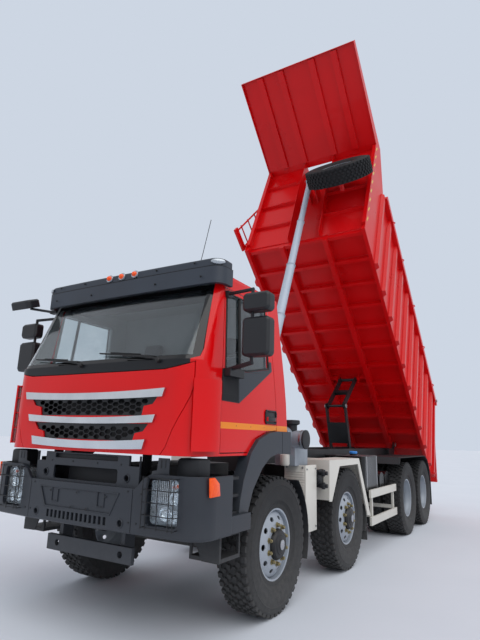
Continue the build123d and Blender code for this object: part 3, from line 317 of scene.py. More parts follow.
# The carcass is one spun section: beads, ribbed walls and a crown at the depth of the grooves
half_section = [(308, 108), (316, 121), (345, 128), (352, 126), (380, 138), (384, 142), (390, 142), (440, 155),
                (473, wall_x), (515, 158), (518, 160), (524, 160), (527, 157), (556, 151), (572, 143), (578, 134),
                (groove_radius, 118), (585, 60)]
tyre = turned("tyre", half_section + [(radius, -x) for radius, x in reversed(half_section)], steps=96)

# The tread is one pitch of six blocks, from shoulder to shoulder, repeated round the crown. A block is an outline
# of (x, distance round the crown) points, extruded to the crown's height and with its top drawn in.
pitch_length = 2 * math.pi * tyre_radius / pitches
tread_blocks = (  # outline in shares of the pitch length round the crown, and the radius of its top
    ([(96, -0.30), (141, -0.34), (141, 0.26), (120, 0.30), (98, 0.20)], 602),
    ([(52, 0.22), (76, 0.12), (90, 0.26), (88, 0.62), (66, 0.74), (50, 0.60)], 603),
    ([(8, -0.26), (34, -0.36), (46, -0.18), (42, 0.16), (18, 0.24), (6, 0.08)], 605),
    ([(-8, 0.26), (-34, 0.36), (-46, 0.18), (-42, -0.16), (-18, -0.24), (-6, -0.08)], 605),
    ([(-52, -0.22), (-76, -0.12), (-90, -0.26), (-88, -0.62), (-66, -0.74), (-50, -0.60)], 603),
    ([(-96, 0.30), (-141, 0.34), (-141, -0.26), (-120, -0.30), (-98, -0.20)], 602),
)
root_radius = 570
block_taper = (0.93, 0.9, 1)
blocks = []
for outline, top in tread_blocks:
    rim = [Vector((x, share * pitch_length, root_radius)) / 1000 for x, share in outline]
    solid = drawn("block", rim)
    bpy.ops.object.mode_set(mode="EDIT")
    bpy.ops.mesh.select_all(action="SELECT")
    bpy.ops.mesh.extrude_region_move(TRANSFORM_OT_translate={"value": (0, 0, (top - root_radius) / 1000)})
    bpy.ops.transform.resize(value=block_taper)
    bpy.ops.object.mode_set(mode="OBJECT")
    blocks.append(closed(solid))
pitch = joined("pitch", blocks)
tread = repeated("tread", pitch, [turn(360 * step / pitches, "X") for step in range(pitches)])
tyre = joined("tyre", [tread, tyre])

# Rubber: natural and synthetic rubber black with carbon, moulded, so matt, with a grey bloom of dust on the walls
rubber = surface("moulded_tyre_rubber", ("111214", "1B1C1F"), (0.72, 0.9), patch_mm=160, grain_mm=3, grain=0.25,
                 dust=0.22, dust_top=1250)
# Silver wheel enamel, sprayed and baked on pressed steel: light grey, half gloss, with a fine metallic flake
wheel_enamel = surface("baked_wheel_enamel", ("9EA6B0", "ADB5BE"), (0.32, 0.45), patch_mm=300, grain_mm=2,
                       grain=0.05, edge_mm=2, dust=0.25, dust_top=1200, sockets={"Metallic": 0.35})
# Yellow zinc plate on the forged nuts: a straw-gold, slightly iridescent passivated finish
zinc_plate = surface("yellow_zinc_plate", ("A3966C", "857C60"), (0.35, 0.5), patch_mm=18, grain_mm=2, grain=0.1,
                     sockets={"Metallic": 0.9})
# Hub castings of ductile iron in black paint, nearly gloss but for the grain of the sand mould, and the turned steel
# cap at their middle, whose fine tool marks spread the light
hub_paint = surface("painted_hub_casting", ("0A0B0D", "131417"), (0.35, 0.5), grain_mm=8, grain=0.3, edge_mm=3)
turned_steel = surface("turned_bright_steel", ("A9ACB0", "BFC1C4"), (0.18, 0.3), patch_mm=40, grain_mm=1.5,
                       grain=0.05, sockets={"Metallic": 1.0})


def wheel(dish, way):
    """A rim with its disc, whose mounting face stands at dish and whose cone opens the other way."""
    lips = [(345, 122), (338, 112), (306, 107), (303, 84), (297, 62), (287, 20)]
    inside = [(279, 18), (290, 60), (296, 84), (298, 114), (337, 123), (344, 125)]
    rim = turned("rim", lips + [(radius, -x) for radius, x in reversed(lips)]
                 + [(radius, -x) for radius, x in reversed(inside)] + inside, steps=96)
    face = [(292, 66), (286, 52), (272, 40), (250, 28), (226, 14), (206, 3), (188, 0), (138, 0)]
    disc = turned("disc", [(radius, dish - way * back) for radius, back in face]
                  + [(radius, dish - way * (back + 11)) for radius, back in reversed(face)], steps=96)
    cutters = []
    for place in round_place(231, 10, 18):
        bpy.ops.object.select_all(action="DESELECT")
        bpy.ops.mesh.primitive_cylinder_add(vertices=24, radius=0.019, depth=0.16)
        cutter = bpy.context.object
        cutter.data.transform(Matrix.Diagonal((1, 1.45, 1, 1)))
        cutter.data.transform(place @ turn(90, "Y"))
        cutter.data.transform(Matrix.Translation((dish / 1000, 0, 0)))
        cutters.append(cutter)
    cutter = joined("vents", cutters)
    only(disc)
    cut = disc.modifiers.new("vents", "BOOLEAN")
    cut.object = cutter
    bpy.ops.object.modifier_apply(modifier="vents")
    bpy.data.objects.remove(cutter)
    return joined("wheel", [rim, eased(disc, 2.5, 2, 50)])


def hexagon(radius, span, *ease):
    """A hexagon head between two places on the X axis, in millimetres, its edges eased."""
    bpy.ops.object.select_all(action="DESELECT")
    bpy.ops.mesh.primitive_cylinder_add(vertices=6, radius=radius / 1000, depth=(span[1] - span[0]) / 1000,
                                        location=(sum(span) / 2000, 0, 0), rotation=(0, math.pi / 2, 0))
    bpy.ops.object.transform_apply(rotation=True, location=True)
    return eased(bpy.context.object, *ease)


def nut_ring(face, way):
    """Ten hexagon nuts with pressed washers and stud ends, about the X axis on a wheel's mounting face."""
    washer = turned("washer", [(0, 0), (25, 0), (25, 4), (21, 6), (0, 6)], steps=16)
    stud = turned("stud", [(0, 26), (11, 26), (11, 34), (9, 37), (0, 37)], steps=12)
    nut = joined("nut", [washer, hexagon(18.5, (6, 28), 2), stud])
    nut.data.transform(Matrix.Diagonal((way, 1, 1, 1)))
    closed(nut)
    nut.data.transform(Matrix.Translation((face / 1000, 0, 0)))
    return repeated("nuts", nut, round_place(167.5, 10))


steer_face = 132
steer_wheel = wheel(steer_face, 1)
steer_nuts = nut_ring(steer_face, 1)
steer_hub = turned("hub", [(0, 188), (46, 188), (52, 184), (84, 182), (90, 176), (118, 172), (128, 160), (136, 140),
                           (136, 20), (0, 20)])
steer_cap = turned("cap", [(0, 187), (44, 187), (44, 193), (36, 196), (0, 196)], steps=32)
mating = sum(twin_x) / 2
outer_wheel = wheel(mating - twin_x[1], -1)
inner_wheel = wheel(mating - twin_x[0], 1)
drive_nuts = nut_ring(12, 1)
drive_hub = turned("drive_hub", [(0, 205), (52, 205), (60, 196), (88, 194), (96, 182), (132, 168), (136, 120),
                                 (136, -235), (0, -235)])


def wheel_place(x, y, side):
    """A wheel's middle on the truck, its outside turned away from the truck."""
    return Matrix.Translation(at(side * x, y, tyre_radius)) @ turn(0 if side > 0 else 180, "Z")


for hand, side in (("left", 1), ("right", -1)):
    for number in (1, 2):
        place = wheel_place(single_x, axle_y[number - 1], side)
        end, body = f"{number}_{hand}", f"wheel_{number}_{hand}"
        fitted(placed(tyre, place @ turn(7 * number, "X")), f"road_tyre_{end}", body, "tyre", rubber, f"tyre_{end}")
        fitted(placed(steer_wheel, place), f"disc_wheel_{end}", body, "wheel_paint", wheel_enamel, f"rim_{end}")
        fitted(placed(steer_nuts, place), f"wheel_nuts_{end}", body, "cast_steel", zinc_plate)
        fitted(placed(steer_hub, place), f"hub_{end}", body, "cast_steel", hub_paint)
        fitted(placed(steer_cap, place), f"hub_cap_{end}", body, "cast_steel", turned_steel)
    for number in (3, 4):
        inner, outer, middle = (wheel_place(x, axle_y[number - 1], side) for x in (*twin_x, mating))
        end, body = f"{number}_{hand}", f"wheels_{number}_{hand}"
        twins = [placed(tyre, inner @ turn(3, "X")), placed(tyre, outer @ turn(11, "X"))]
        fitted(twins, f"road_tyres_{end}", body, "tyre", rubber, f"twin_tyres_{end}")
        discs = [placed(inner_wheel, inner), placed(outer_wheel, outer)]
        fitted(discs, f"disc_wheels_{end}", body, "wheel_paint", wheel_enamel, f"twin_rims_{end}")
        fitted(placed(drive_nuts, middle), f"wheel_nuts_{end}", body, "cast_steel", zinc_plate)
        fitted(placed(drive_hub, middle), f"hub_{end}", body, "cast_steel", hub_paint)

# Spare wheel: a slightly smaller tyre of the same kind on its own disc, held flat against the bed's front wall. It is
# placed on axes that lie along the bed's floor and square to it.
bed_tilt = math.radians(42.8)
along = Vector((0, -math.cos(bed_tilt), math.sin(bed_tilt)))
upright = Vector((0, math.sin(bed_tilt), math.cos(bed_tilt)))
tip_pin = (7036, 1505)  # y and z of the pin that the bed tips on
pin_along, pin_up = 928, 75  # where that pin is from the bed's lower rear corner
bed_corner = at(0, *tip_pin) - (along * pin_along + upright * pin_up) / 1000


def on_bed(x, u, v):
    """A place by millimetres across the bed, forward along its floor from the lower rear corner, and square to it."""
    return bed_corner + (Vector((x, 0, 0)) + along * u + upright * v) / 1000


def aimed(place, way):
    """A place whose X axis points along a direction."""
    return Matrix.Translation(place) @ way.to_track_quat("X", "Z").to_matrix().to_4x4()


spare_radius = 585
spare_scale = spare_radius / tyre_radius
spare_lean = math.radians(10)
spare_middle = on_bed(695, 6930, 950)
spare_axis = along * math.cos(spare_lean) + upright * math.sin(spare_lean)
spare_place = aimed(spare_middle, spare_axis)
spare_tyre = placed(tyre, spare_place @ Matrix.Diagonal((1, spare_scale, spare_scale, 1)))
fitted(spare_tyre, "spare_road_tyre", "bed", "tyre", rubber, "spare_tyre")
spare_disc = wheel(-108, -1)
fitted(placed(spare_disc, spare_place), "spare_disc_wheel", "bed", "wheel_paint", wheel_enamel, "spare_rim")
for part in (steer_wheel, steer_nuts, steer_hub, steer_cap, outer_wheel, inner_wheel, drive_nuts, drive_hub, tyre,
             spare_disc):
    bpy.data.objects.remove(part)


# Underbody: gloss black tanks of rolled steel held by stainless straps, the battery box behind a ribbed cream cover,
# the air cleaner on top of it, black moulded mudguards and cream sheet fairings, all bolted to the frame.
def slab(rim, way, ease):
    """An outline extruded by a vector, with its edges eased unless ease is 0."""
    piece = pushed("slab", rim, way)
    return eased(piece, ease) if ease else piece


corners = ((0, 0), (1, 0), (1, 1), (0, 1))


def block(x, y, z, ease=3):
    """A block between limits on each axis."""
    return slab([at(x[i], y[j], z[0]) for i, j in corners], Vector((0, 0, z[1] - z[0])) / 1000, ease)


def beside(side, near, far):
    """Limits across the truck on one side, from near its middle outwards."""
    return sorted((side * near, side * far))


def pair(near, far, y, z, ease=3):
    """The same block on both sides of the truck."""
    return [block(beside(side, near, far), y, z, ease) for side in (1, -1)]


def bar(start, end, radius, sides=10):
    """A round bar between two places: a circle extruded along it."""
    way = end - start
    across = way.orthogonal().normalized() * radius / 1000
    rim = [start + Matrix.Rotation(2 * math.pi * step / sides, 4, way.normalized()) @ across for step in range(sides)]
    piece = pushed("bar", rim, way)
    only(piece)
    bpy.ops.object.shade_smooth_by_angle(angle=math.radians(40))
    return piece


def wire(points, radius, sides=8):
    """A bent rod: bars from point to point, each run on into the bend."""
    bars = []
    for start, end in zip(points, points[1:]):
        run = (end - start).normalized() * radius / 1000
        bars.append(bar(start - run * 0.8, end + run * 0.8, radius, sides))
    return joined("wire", bars)


def plate(view, points, span, ease=2):
    """A plate with a side view outline of (y, z) points or a front view outline of (x, z) points."""
    thick = (span[1] - span[0]) / 1000
    if view == "side":
        return slab([at(span[0], y, z) for y, z in points], Vector((thick, 0, 0)), ease)
    return slab([at(x, span[0], z) for x, z in points], Vector((0, thick, 0)), ease)


def bolt(radius):
    """A hexagon head on a washer, its end along X."""
    washer = turned("washer", [(0, 0), (radius * 1.35, 0), (radius * 1.35, 2), (0, 3)], steps=12)
    return joined("bolt", [washer, hexagon(radius, (2, 10), 1, 1)])


def ahead(x, y, z, way=(0, -1, 0)):
    """A place from which a turned piece points along a direction, straight ahead if none is given."""
    return aimed(at(x, y, z), Vector(way))


# Two-pack black on the rolled steel tanks, which mirrors the ground in a soft band
tank_paint = surface("gloss_black_tank_paint", ("08090B", "0F1113"), (0.22, 0.36), grain_mm=12, edge_mm=6, dust=0.35)
# Cold-rolled stainless straps with a dull brushed shine, and bolts plated with bright zinc
strap_steel = surface("rolled_stainless_strap", ("9FA2A5", "B8BABC"), (0.28, 0.42), patch_mm=60, grain_mm=2,
                      sockets={"Metallic": 1.0})
bolt_zinc = surface("bright_zinc_bolts", ("8C8E90", "A2A4A6"), (0.35, 0.5), patch_mm=20, grain_mm=2,
                    sockets={"Metallic": 0.9})
# Polypropylene mouldings, black and grained in the mould, half matt and greyed by dust low down
black_moulding = surface("grained_black_moulding", ("14161A", "1C1F24"), (0.5, 0.66), grain_mm=3, grain=0.22,
                         edge_mm=3, dust=0.4)
# Cream polyester enamel, baked on folded sheet, half gloss and greyed by dust low down
cream_enamel = surface("cream_sheet_enamel", ("CFCCC2", "DAD7CF"), (0.28, 0.42), grain_mm=8, edge_mm=3, dust=0.35,
                       dust_top=1100)
# Silver-grey enamel on the air cleaner's spun canisters; the filler caps are moulded in blue polyethylene
grey_housing = surface("silver_grey_housing", ("7F8790", "949CA5"), (0.3, 0.45), patch_mm=120, grain_mm=5, edge_mm=5,
                       dust=0.15, dust_top=1500)
blue_cap = surface("blue_filler_cap", ("2F7FD0", "3A8ADA"), (0.3, 0.4), patch_mm=40, grain_mm=2)
# Acrylic lenses, moulded with ribs inside, amber or red in the mass, so their colour is deep under a smooth face
# The amber lenses also carry a faint painted glow: a weak emission in their own amber, though the lamps are not lit
amber_lens = surface("amber_moulded_lens", ("E84402", "F65C04"), (0.08, 0.16), patch_mm=30, grain_mm=6, grain=0.3,
                     sockets={"Specular IOR Level": 0.3, "Coat Weight": 0.3,
                              "Emission Strength": 0.1, "Emission Color": srgb("FF5A04")})
red_lens = surface("red_moulded_lens", ("B3131A", "C21A20"), (0.08, 0.16), patch_mm=30, grain_mm=6, grain=0.3,
                   sockets={"Coat Weight": 1.0})
dress(tank_paint, "tanks")
dress(grey_housing, "air_cleaner")
dress(black_moulding, "mudguards")
dress(cream_enamel, "side_fairings")

straps = []
for y in (3010, 3510):
    straps += [block((1107, 1115), (y - 18, y + 18), (852, 1346), 1),
               block((640, 1115), (y - 18, y + 18), (1338, 1347), 1)]
for y in (3080, 4150):
    straps += [block((-1116, -1108), (y - 22, y + 22), (670, 1090), 1),
               block((-1020, -640), (y - 22, y + 22), (1178, 1186), 1)]
fitted(straps, "tank_straps", "chassis", "cast_steel", strap_steel)
cap = turned("cap", [(0, 0), (58, 0), (60, 6), (60, 24), (50, 34), (0, 36)], steps=28)
caps = spread(cap, [ahead(900, 3050, 1374, (0, 0, 1)), ahead(-860, 3560, 1179, (0, 0, 1))])
fitted(caps, "filler_caps", "chassis", "black_plastic", blue_cap)

# Battery box cover: a cream enamelled pressing of thin steel with level ribs, held by zinc-plated screws at its
# corners, with a red reflector glued at its foot
cover = [block((884, 1136), (706, 712), (596, 1288)), block((1128, 1136), (706, 1018), (596, 1288))]
cover += [block((900, 1120), (702, 707), (z, z + 12), 2) for z in range(640, 1230, 26)]
fitted(cover, "battery_cover", "chassis", "white_paint", cream_enamel)
spots = [(x, 703, 1262) for x in (915, 1105)] + [(1137, y, z, (1, 0, 0)) for y in (745, 985) for z in (640, 1245)]
fitted(repeated("screws", bolt(8), [ahead(*spot) for spot in spots]), "battery_cover_bolts", "chassis", "cast_steel",
       bolt_zinc)
fitted(block((1085, 1115), (698, 706), (690, 775), 2), "side_reflector", "chassis", "lens", red_lens)

# Air cleaner: black moulded end caps and stainless clamp bands round the canisters, a rain cap on a short stack above
# them, and the air dryer's cream canister screwed on below
canister = (640, 1560)  # y and z of the canisters' axis
can = turned("can", [(0, 0), (99, 0), (104, 6), (104, 46), (96, 52), (60, 60), (0, 62)], steps=40)
ends = spread(can, [ahead(1160, *canister, (1, 0, 0)) @ Matrix.Diagonal((0.4, 0.98, 0.98, 1)),
                    ahead(930, *canister, (-1, 0, 0))])
stack = turned("stack", [(0, 0), (62, 0), (62, 70), (92, 84), (92, 118), (84, 126), (0, 130)], steps=32)
ends += spread(stack, [ahead(1000, 640, 1640, (0, 0, 1))])
fitted(ends, "air_cleaner_caps", "chassis", "black_plastic", black_moulding)
band = turned("band", [(97, 0), (100, 0), (100, 16), (97, 16)], steps=40)
fitted(spread(band, [ahead(x, *canister, (1, 0, 0)) for x in (985, 1125)]), "air_cleaner_bands", "chassis",
       "cast_steel", strap_steel)
dryer = turned("dryer", [(0, 0), (46, 0), (52, 8), (52, 100), (40, 118), (0, 122)], steps=28)
fitted(spread(dryer, [ahead(960, 560, 1400, (0, 0, -1))]), "dryer_canister", "chassis", "white_paint", cream_enamel)

# Air couplings: three valves in black glass-filled nylon, screwed to a folded bracket on the fairing between wheels 1
# and 2
valve = turned("valve", [(0, 0), (26, 0), (26, 30), (38, 34), (38, 62), (22, 70), (22, 96), (0, 98)], steps=24)
valves = spread(valve, [ahead(1120, 1150, z, way)
                        for z, way in ((1190, (1, 0, 0)), (1120, (0, -1, 0)), (1050, (1, 0, 0)))])
valves += [block((1040, 1130), (1140, 1300), (1030, 1045)), block((1080, 1112), (1120, 1300), (1045, 1225))]
fitted(valves, "air_couplings", "chassis", "black_plastic", black_moulding)

# Frame bolts: two rows of zinc-plated hexagon bolts along both rails, which hold the cross members and brackets, and
# the stainless strips that clamp the splash flaps behind the last wheels
spots = [(side * 430, y, z, (side, 0, 0)) for side in (1, -1) for z in (850, 1085) for y in range(1250, 7100, 260)]
fitted(repeated("bolts", bolt(13), [ahead(*spot) for spot in spots]), "frame_bolts", "chassis", "cast_steel",
       bolt_zinc)
strips = pair(600, 1235, (7084, 7092), (700, 726)) + pair(600, 1235, (7084, 7092), (330, 356))
fitted(strips, "flap_strips", "chassis", "cast_steel", strap_steel)

# Tail lamps: red, amber and clear acrylic chambers welded on black moulded housings, which are bolted to the tail
# beam, with a blank plate of stamped aluminium between them
cases = pair(690, 1130, (7258, 7290), (790, 910), 8) + [block((-270, 270), (7260, 7272), (780, 920))]
reds, ambers, clears = (
    [piece for near, far in chambers for piece in pair(near, far, (7286, 7300), (802, 898), 6)]
    for chambers in (((700, 820), (1030, 1120)), ((830, 950),), ((960, 1020),)))
fitted(cases, "tail_lamp_housings", "chassis", "black_plastic", black_moulding)
fitted(reds, "tail_lamps_red", "chassis", "lens", red_lens)
fitted(ambers, "tail_lamps_amber", "chassis", "lens", amber_lens)
# White enamel on stamped aluminium, left blank, and the clear chambers over their white bowls
plate_white = surface("blank_plate_enamel", ("DCDDDD", "E4E5E5"), (0.3, 0.4), patch_mm=200)
clears.append(block((-260, 260), (7270, 7275), (794, 906), 2))
fitted(clears, "rear_plate", "chassis", "white_paint", plate_white)

# Bumper: thick pressed sheet in anthracite texture paint, slightly glossy on its rounded corners. Its plate recess
# has a rolled bead and two wire loops, button-head bolts hold its sections, and black ducts fill its openings.
bumper_paint = surface("anthracite_texture_paint", ("22262D", "2A2F37"), (0.34, 0.48), grain_mm=6, grain=0.18,
                       edge_mm=8, dust=0.2, dust_top=1000)
dress(bumper_paint, "front_bumper")


bumper_nose, bumper_bow, bumper_half = -1420, 60, 1245


def nose(x, back=0):
    """Y of the bumper's bowed face at a distance from its middle, or of a place set back from it."""
    return bumper_nose + bumper_bow * (x / bumper_half) ** 2 + back


bead = [(-469, 1105), (-390, 946), (390, 946), (469, 1105), (-469, 1105)]
beads = [wire([at(x, nose(x, -1), z) for x, z in bead], 6)]
for x in (-275, 275):
    loop = [(x - 38, 1098), (x - 36, 990), (x + 36, 990), (x + 38, 1086)]
    beads.append(wire([at(px, nose(px, 6), pz) for px, pz in loop], 4))
fitted(beads, "plate_bead", "chassis", "dark_steel", bumper_paint)
ring = turned("ring", [(24, -16), (24, 3), (28, 7), (34, 5), (36, 0), (36, -2), (27, -16)], steps=28)
rings = spread(ring, [ahead(x, nose(x), 890) for x in (-500, 500)] + [ahead(x, -1361, 1220) for x in (-490, 490)])
fitted(rings, "bumper_ferrules", "chassis", "dark_steel", bumper_paint)
button = turned("button", [(0, 0), (8, 0), (8, 2), (5, 5), (0, 6)], steps=12)
spots = [(x, nose(x), z) for x, z in ((-330, 1075), (330, 1070), (0, 1080), (-60, 962), (120, 962), (-560, 1130),
                                       (-585, 905), (560, 1130), (585, 905), (660, 905), (-660, 905), (690, 1120))]
spots += [(x, -1360, z) for x, z in ((-150, 1322), (150, 1322), (-420, 1322), (420, 1322))]
fitted(repeated("buttons", button, [ahead(*spot) for spot in spots]), "bumper_bolts", "chassis", "cast_steel",
       black_moulding)
# Brackets for the washer pipes, each with two slits, and the black duct mouldings behind the openings
ears = []
for side in (1, -1):
    ears.append(plate("front", [(side * 740, 1225), (side * 910, 1225), (side * 910, 1392), (side * 800, 1392),
                                (side * 790, 1300), (side * 740, 1290)], (-1352, -1344)))
fitted(ears, "bumper_brackets", "chassis", "dark_steel", bumper_paint)
ducts = [block((-384, 384), (-1396, -1388), (846, 934)), block((-330, 330), (-1240, -1170), (840, 1290), 6),
         block((-500, 500), (-1336, -1328), (1290, 1392))]
for near, far, y, z, ease in (
        (826, 838, (-1355, -1350), (1318, 1378), 2), (868, 880, (-1355, -1350), (1318, 1378), 2),
        (915, 1140, (-1270, -1120), (1240, 1395), 24), (720, 1044, (-1244, -1236), (890, 1240), 6),
        (470, 530, (-1388, -1380), (860, 920), 4), (880, 892, (-1110, -700), (840, 1330), 4)):
    ducts += pair(near, far, y, z, ease)
ducts += [block((-348 + slat * 52, -340 + slat * 52), (-1399, -1394), (860, 920), 1) for slat in range(14)]
fitted(ducts, "bumper_ducts", "chassis", "black_plastic", black_moulding)

# Entry steps: three open treads of folded black plate with raised grips, and a fourth on the step box below them,
# bolted between the bumper and the front wheel
treads = []
for z in (975, 1110, 1247):
    treads += pair(892, 1165, (-1096, -735), (z - 24, z), 4)
    for y in range(-1080, -740, 30):
        treads += pair(900, 1158, (y, y + 10), (z, z + 5), 1)
for y in range(-985, -710, 30):
    treads += pair(900, 1160, (y, y + 10), (825, 830), 1)
fitted(treads, "entry_steps", "chassis", "black_plastic", black_moulding)

# Headlamps: a grey bowl behind a crowned clear lens, with three bright reflectors and an amber bulb in it, behind a
# welded guard of black wire. Amber side lamps wrap the bumper's ends.
lamp_x, lamp_z = 883.5, 1071
guard_levels = (892, 980, 1070, 1160, 1248)

# Clear polycarbonate, injection moulded, whose faint upright flutes blur what is behind it
clear_lens = bpy.data.materials.new("clear_polycarbonate_lens")
clear_lens.use_nodes = True
tree = clear_lens.node_tree
shader = tree.nodes["Principled BSDF"]
shader.inputs["Base Color"].default_value = srgb("F2F6F8")
shader.inputs["Transmission Weight"].default_value = 0.92
shader.inputs["IOR"].default_value = 1.2
place_out = put(tree, "ShaderNodeTexCoord").outputs["Object"]
flutes = put(tree, "ShaderNodeTexWave", {"Vector": place_out, "Scale": 18.0}, bands_direction="X")
relief = put(tree, "ShaderNodeBump", {"Height": flutes.outputs["Fac"], "Strength": 0.07, "Distance": 0.002})
tree.links.new(relief.outputs[0], shader.inputs["Normal"])
shader.inputs["Roughness"].default_value = 0.06
# Aluminium evaporated on moulded reflectors, mirror bright, and thinner on the satin bowl round them
reflector_metal = surface("vacuum_metallised_reflector", ("D5DADF", "E8ECEF"), (0.05, 0.12), patch_mm=30,
                          sockets={"Metallic": 1.0})
bowl_grey = surface("metallised_lamp_bowl", ("A9B0B7", "BCC3C9"), (0.22, 0.34), patch_mm=60,
                    sockets={"Metallic": 0.7})
# Welded wire, dipped in black and half gloss
guard_black = surface("dipped_black_wire", ("0E0F11", "15161A"), (0.35, 0.5), patch_mm=60)


def rounded(width, height, radius):
    """The outline of a rectangle with rounded corners, as (x, z) points from its middle."""
    points = []
    for cx, cz, start in ((1, 1, 0), (-1, 1, 90), (-1, -1, 180), (1, -1, 270)):
        for step in range(0, 91, 15):
            angle = math.radians(start + step)
            points.append((cx * (width / 2 - radius) + radius * math.cos(angle),
                           cz * (height / 2 - radius) + radius * math.sin(angle)))
    return points


def front_moved(piece, border, shift):
    """Insets a piece's foremost face by a border and moves what the border frames along Y, in millimetres."""
    bpy.ops.object.mode_set(mode="EDIT")
    bpy.ops.mesh.select_mode(type="FACE")
    bpy.ops.mesh.select_all(action="DESELECT")
    bpy.ops.object.mode_set(mode="OBJECT")
    min(piece.data.polygons, key=lambda face: (face.center.y, -face.area)).select = True
    bpy.ops.object.mode_set(mode="EDIT")
    bpy.ops.mesh.inset(thickness=border / 1000)
    bpy.ops.transform.translate(value=(0, shift / 1000, 0))
    bpy.ops.object.mode_set(mode="OBJECT")
    return piece


bowls, lenses, bulbs, guards, sides_amber = [], [], [], [], []
bright = [piece for x in range(756, 900, 18) for piece in pair(x, x + 9, (-1300, -1272), (1060, 1225))]
for side in (1, -1):
    rim = [(side * lamp_x + x, lamp_z + z) for x, z in rounded(283, 328, 34)]
    bowls.append(front_moved(plate("front", rim, (-1242, -1334), 0), 14, 70))
    lenses.append(eased(front_moved(plate("front", rim, (-1336, -1343), 0), 20, -8), 3))
    for x, z, radius in ((955, 1098, 44), (872, 985, 48), (962, 972, 40), (966, 1186, 40)):
        dish = turned("dish", [(0, 0), (radius * 0.5, 6), (radius * 0.85, 20), (radius, 38), (radius + 4, 38),
                               (radius + 4, -6), (0, -8)], steps=32)
        bright += spread(dish, [ahead(side * x, -1282, z)])
    cell = turned("bulb", [(0, -10), (13, -10), (15, 10), (12, 26), (0, 32)], steps=20)
    bulbs += spread(cell, [ahead(side * 966, -1282, 1186)])
    cell = turned("bead", [(0, 0), (12, 0), (10, 16), (0, 20)], steps=20)
    bright += spread(cell, [ahead(side * x, -1290, z) for x, z in ((955, 1098), (872, 985), (962, 972))])
    for x in (735, 778, 885, 992, 1035):
        guards.append(wire([at(side * x, -1439, 885), at(side * x, -1439, 1255)], 3.5))
    for z in guard_levels:
        guards.append(wire([at(side * 726, -1431, z), at(side * 1044, -1431, z)], 3.5))
    for x, foot_y in ((735, -1401), (1035, -1381)):
        for z in guard_levels[:2] + guard_levels[3:]:
            guards.append(wire([at(side * x, -1430, z), at(side * x, foot_y, z)], 3.5))
    outline = [(-1290, 1128), (-1160, 1132), (-1176, 1222), (-1240, 1268), (-1300, 1266)]
    sides_amber.append(plate("side", outline, (side * 1244, side * 1262), 5))
fitted(bowls, "headlamp_bowls", "chassis", "grey_plastic", bowl_grey, "headlamps")
fitted(lenses, "headlamp_lenses", "chassis", "lens", clear_lens, "headlamps")
fitted(bright, "headlamp_reflectors", "chassis", "chrome", reflector_metal, "headlamps")
fitted(bulbs, "indicator_bulbs", "chassis", "lens", amber_lens, "headlamps")
fitted(guards, "headlamp_guards", "chassis", "black_paint", guard_black, "headlamps")
fitted(sides_amber, "side_lamps", "chassis", "lens", amber_lens, "headlamps")

# Cab: a spot-welded steel shell in two-pack red enamel with a deep clear gloss. Grey lining covers it inside, its
# bulkhead and cowl are black, and a strip of orange reflective film with printed dots runs along its sides.
cab_red = surface("two_pack_cab_enamel", ("D2040A", "DE070D"), (0.12, 0.2), patch_mm=1400, grain_mm=18, grain=0.03,
                  edge_mm=4, dust=0.1, dust_top=1700,
                  sockets={"Specular IOR Level": 0.2, "Coat Weight": 0.25, "Coat Roughness": 0.05})
panel_red = cab_red.copy()
panel_red.name = "two_pack_panel_enamel"


def between(tree, value, low, high):
    """1 where a value lies between two limits, else 0."""
    inputs = {0: value, 1: (low + high) / 2, 2: (high - low) / 2}
    return put(tree, "ShaderNodeMath", inputs, operation="COMPARE").outputs[0]


def overlap(tree, *shares):
    """1 where all the shares are 1."""
    whole = shares[0]
    for share in shares[1:]:
        whole = put(tree, "ShaderNodeMath", {0: whole, 1: share}, operation="MULTIPLY").outputs[0]
    return whole


def covered(material, share, tone, rough, coat=None):
    """Lays another tone and roughness over a share of a finish."""
    tree = material.node_tree
    shader = tree.nodes["Principled BSDF"]
    below, dull = (shader.inputs[name].links[0].from_socket for name in ("Base Color", "Roughness"))
    colour = put(tree, "ShaderNodeMix", {0: share, 6: below, 7: srgb(tone)}, data_type="RGBA")
    tree.links.new(colour.outputs[2], shader.inputs["Base Color"])
    tree.links.new(put(tree, "ShaderNodeMix", {0: share, 2: dull, 3: rough}).outputs[0], shader.inputs["Roughness"])
    if coat is not None:
        whole = shader.inputs["Coat Weight"].default_value
        tree.links.new(put(tree, "ShaderNodeMix", {0: share, 2: whole, 3: coat}).outputs[0],
                       shader.inputs["Coat Weight"])


tree = cab_red.node_tree
coordinates = put(tree, "ShaderNodeTexCoord").outputs
split = put(tree, "ShaderNodeSeparateXYZ", {0: coordinates["Object"]}).outputs
out = put(tree, "ShaderNodeMath", {0: split["X"]}, operation="ABSOLUTE").outputs[0]
run_y, height = split["Y"], split["Z"]
start = front_axle / 1000
# Zones of the shell in metres: heights over the ground, distances out from the middle and lengths ahead of the front
# axle, then the pitch and half width of the dots that are printed on the strip
strip_z, dots_z, cowl_z, wall_z, underside_shade_z, foot_shade_z = (
    (1.632, 1.684), (1.654, 1.663), (2.05, 2.173), (1.44, 2.16), (1.0, 1.46), (1.0, 1.411))
strip_out, lining_out, cowl_out, wall_out = (1.12, 1.2), (-1, 1.1), (-1, 1.035), (-1, 1.093)
door_front, bulkhead_front, cowl_front, cowl_back = 1.017, 1.24, 2.0, 1.2
dot_pitch, dot_half = 0.125, 0.006
from_middle = put(tree, "ShaderNodeVectorMath", {0: coordinates["Object"], 1: at(0, -500, 2200)}, operation="SUBTRACT")
facing = put(tree, "ShaderNodeVectorMath", {0: from_middle.outputs[0], 1: coordinates["Normal"]},
             operation="DOT_PRODUCT").outputs["Value"]
inward = put(tree, "ShaderNodeMath", {0: facing, 1: 0.0}, operation="LESS_THAN").outputs[0]
lining = overlap(tree, inward, between(tree, out, *lining_out),
                 between(tree, run_y, start - bulkhead_front, start + 1))
covered(cab_red, lining, "C0C5C7", 0.85, 0.0)
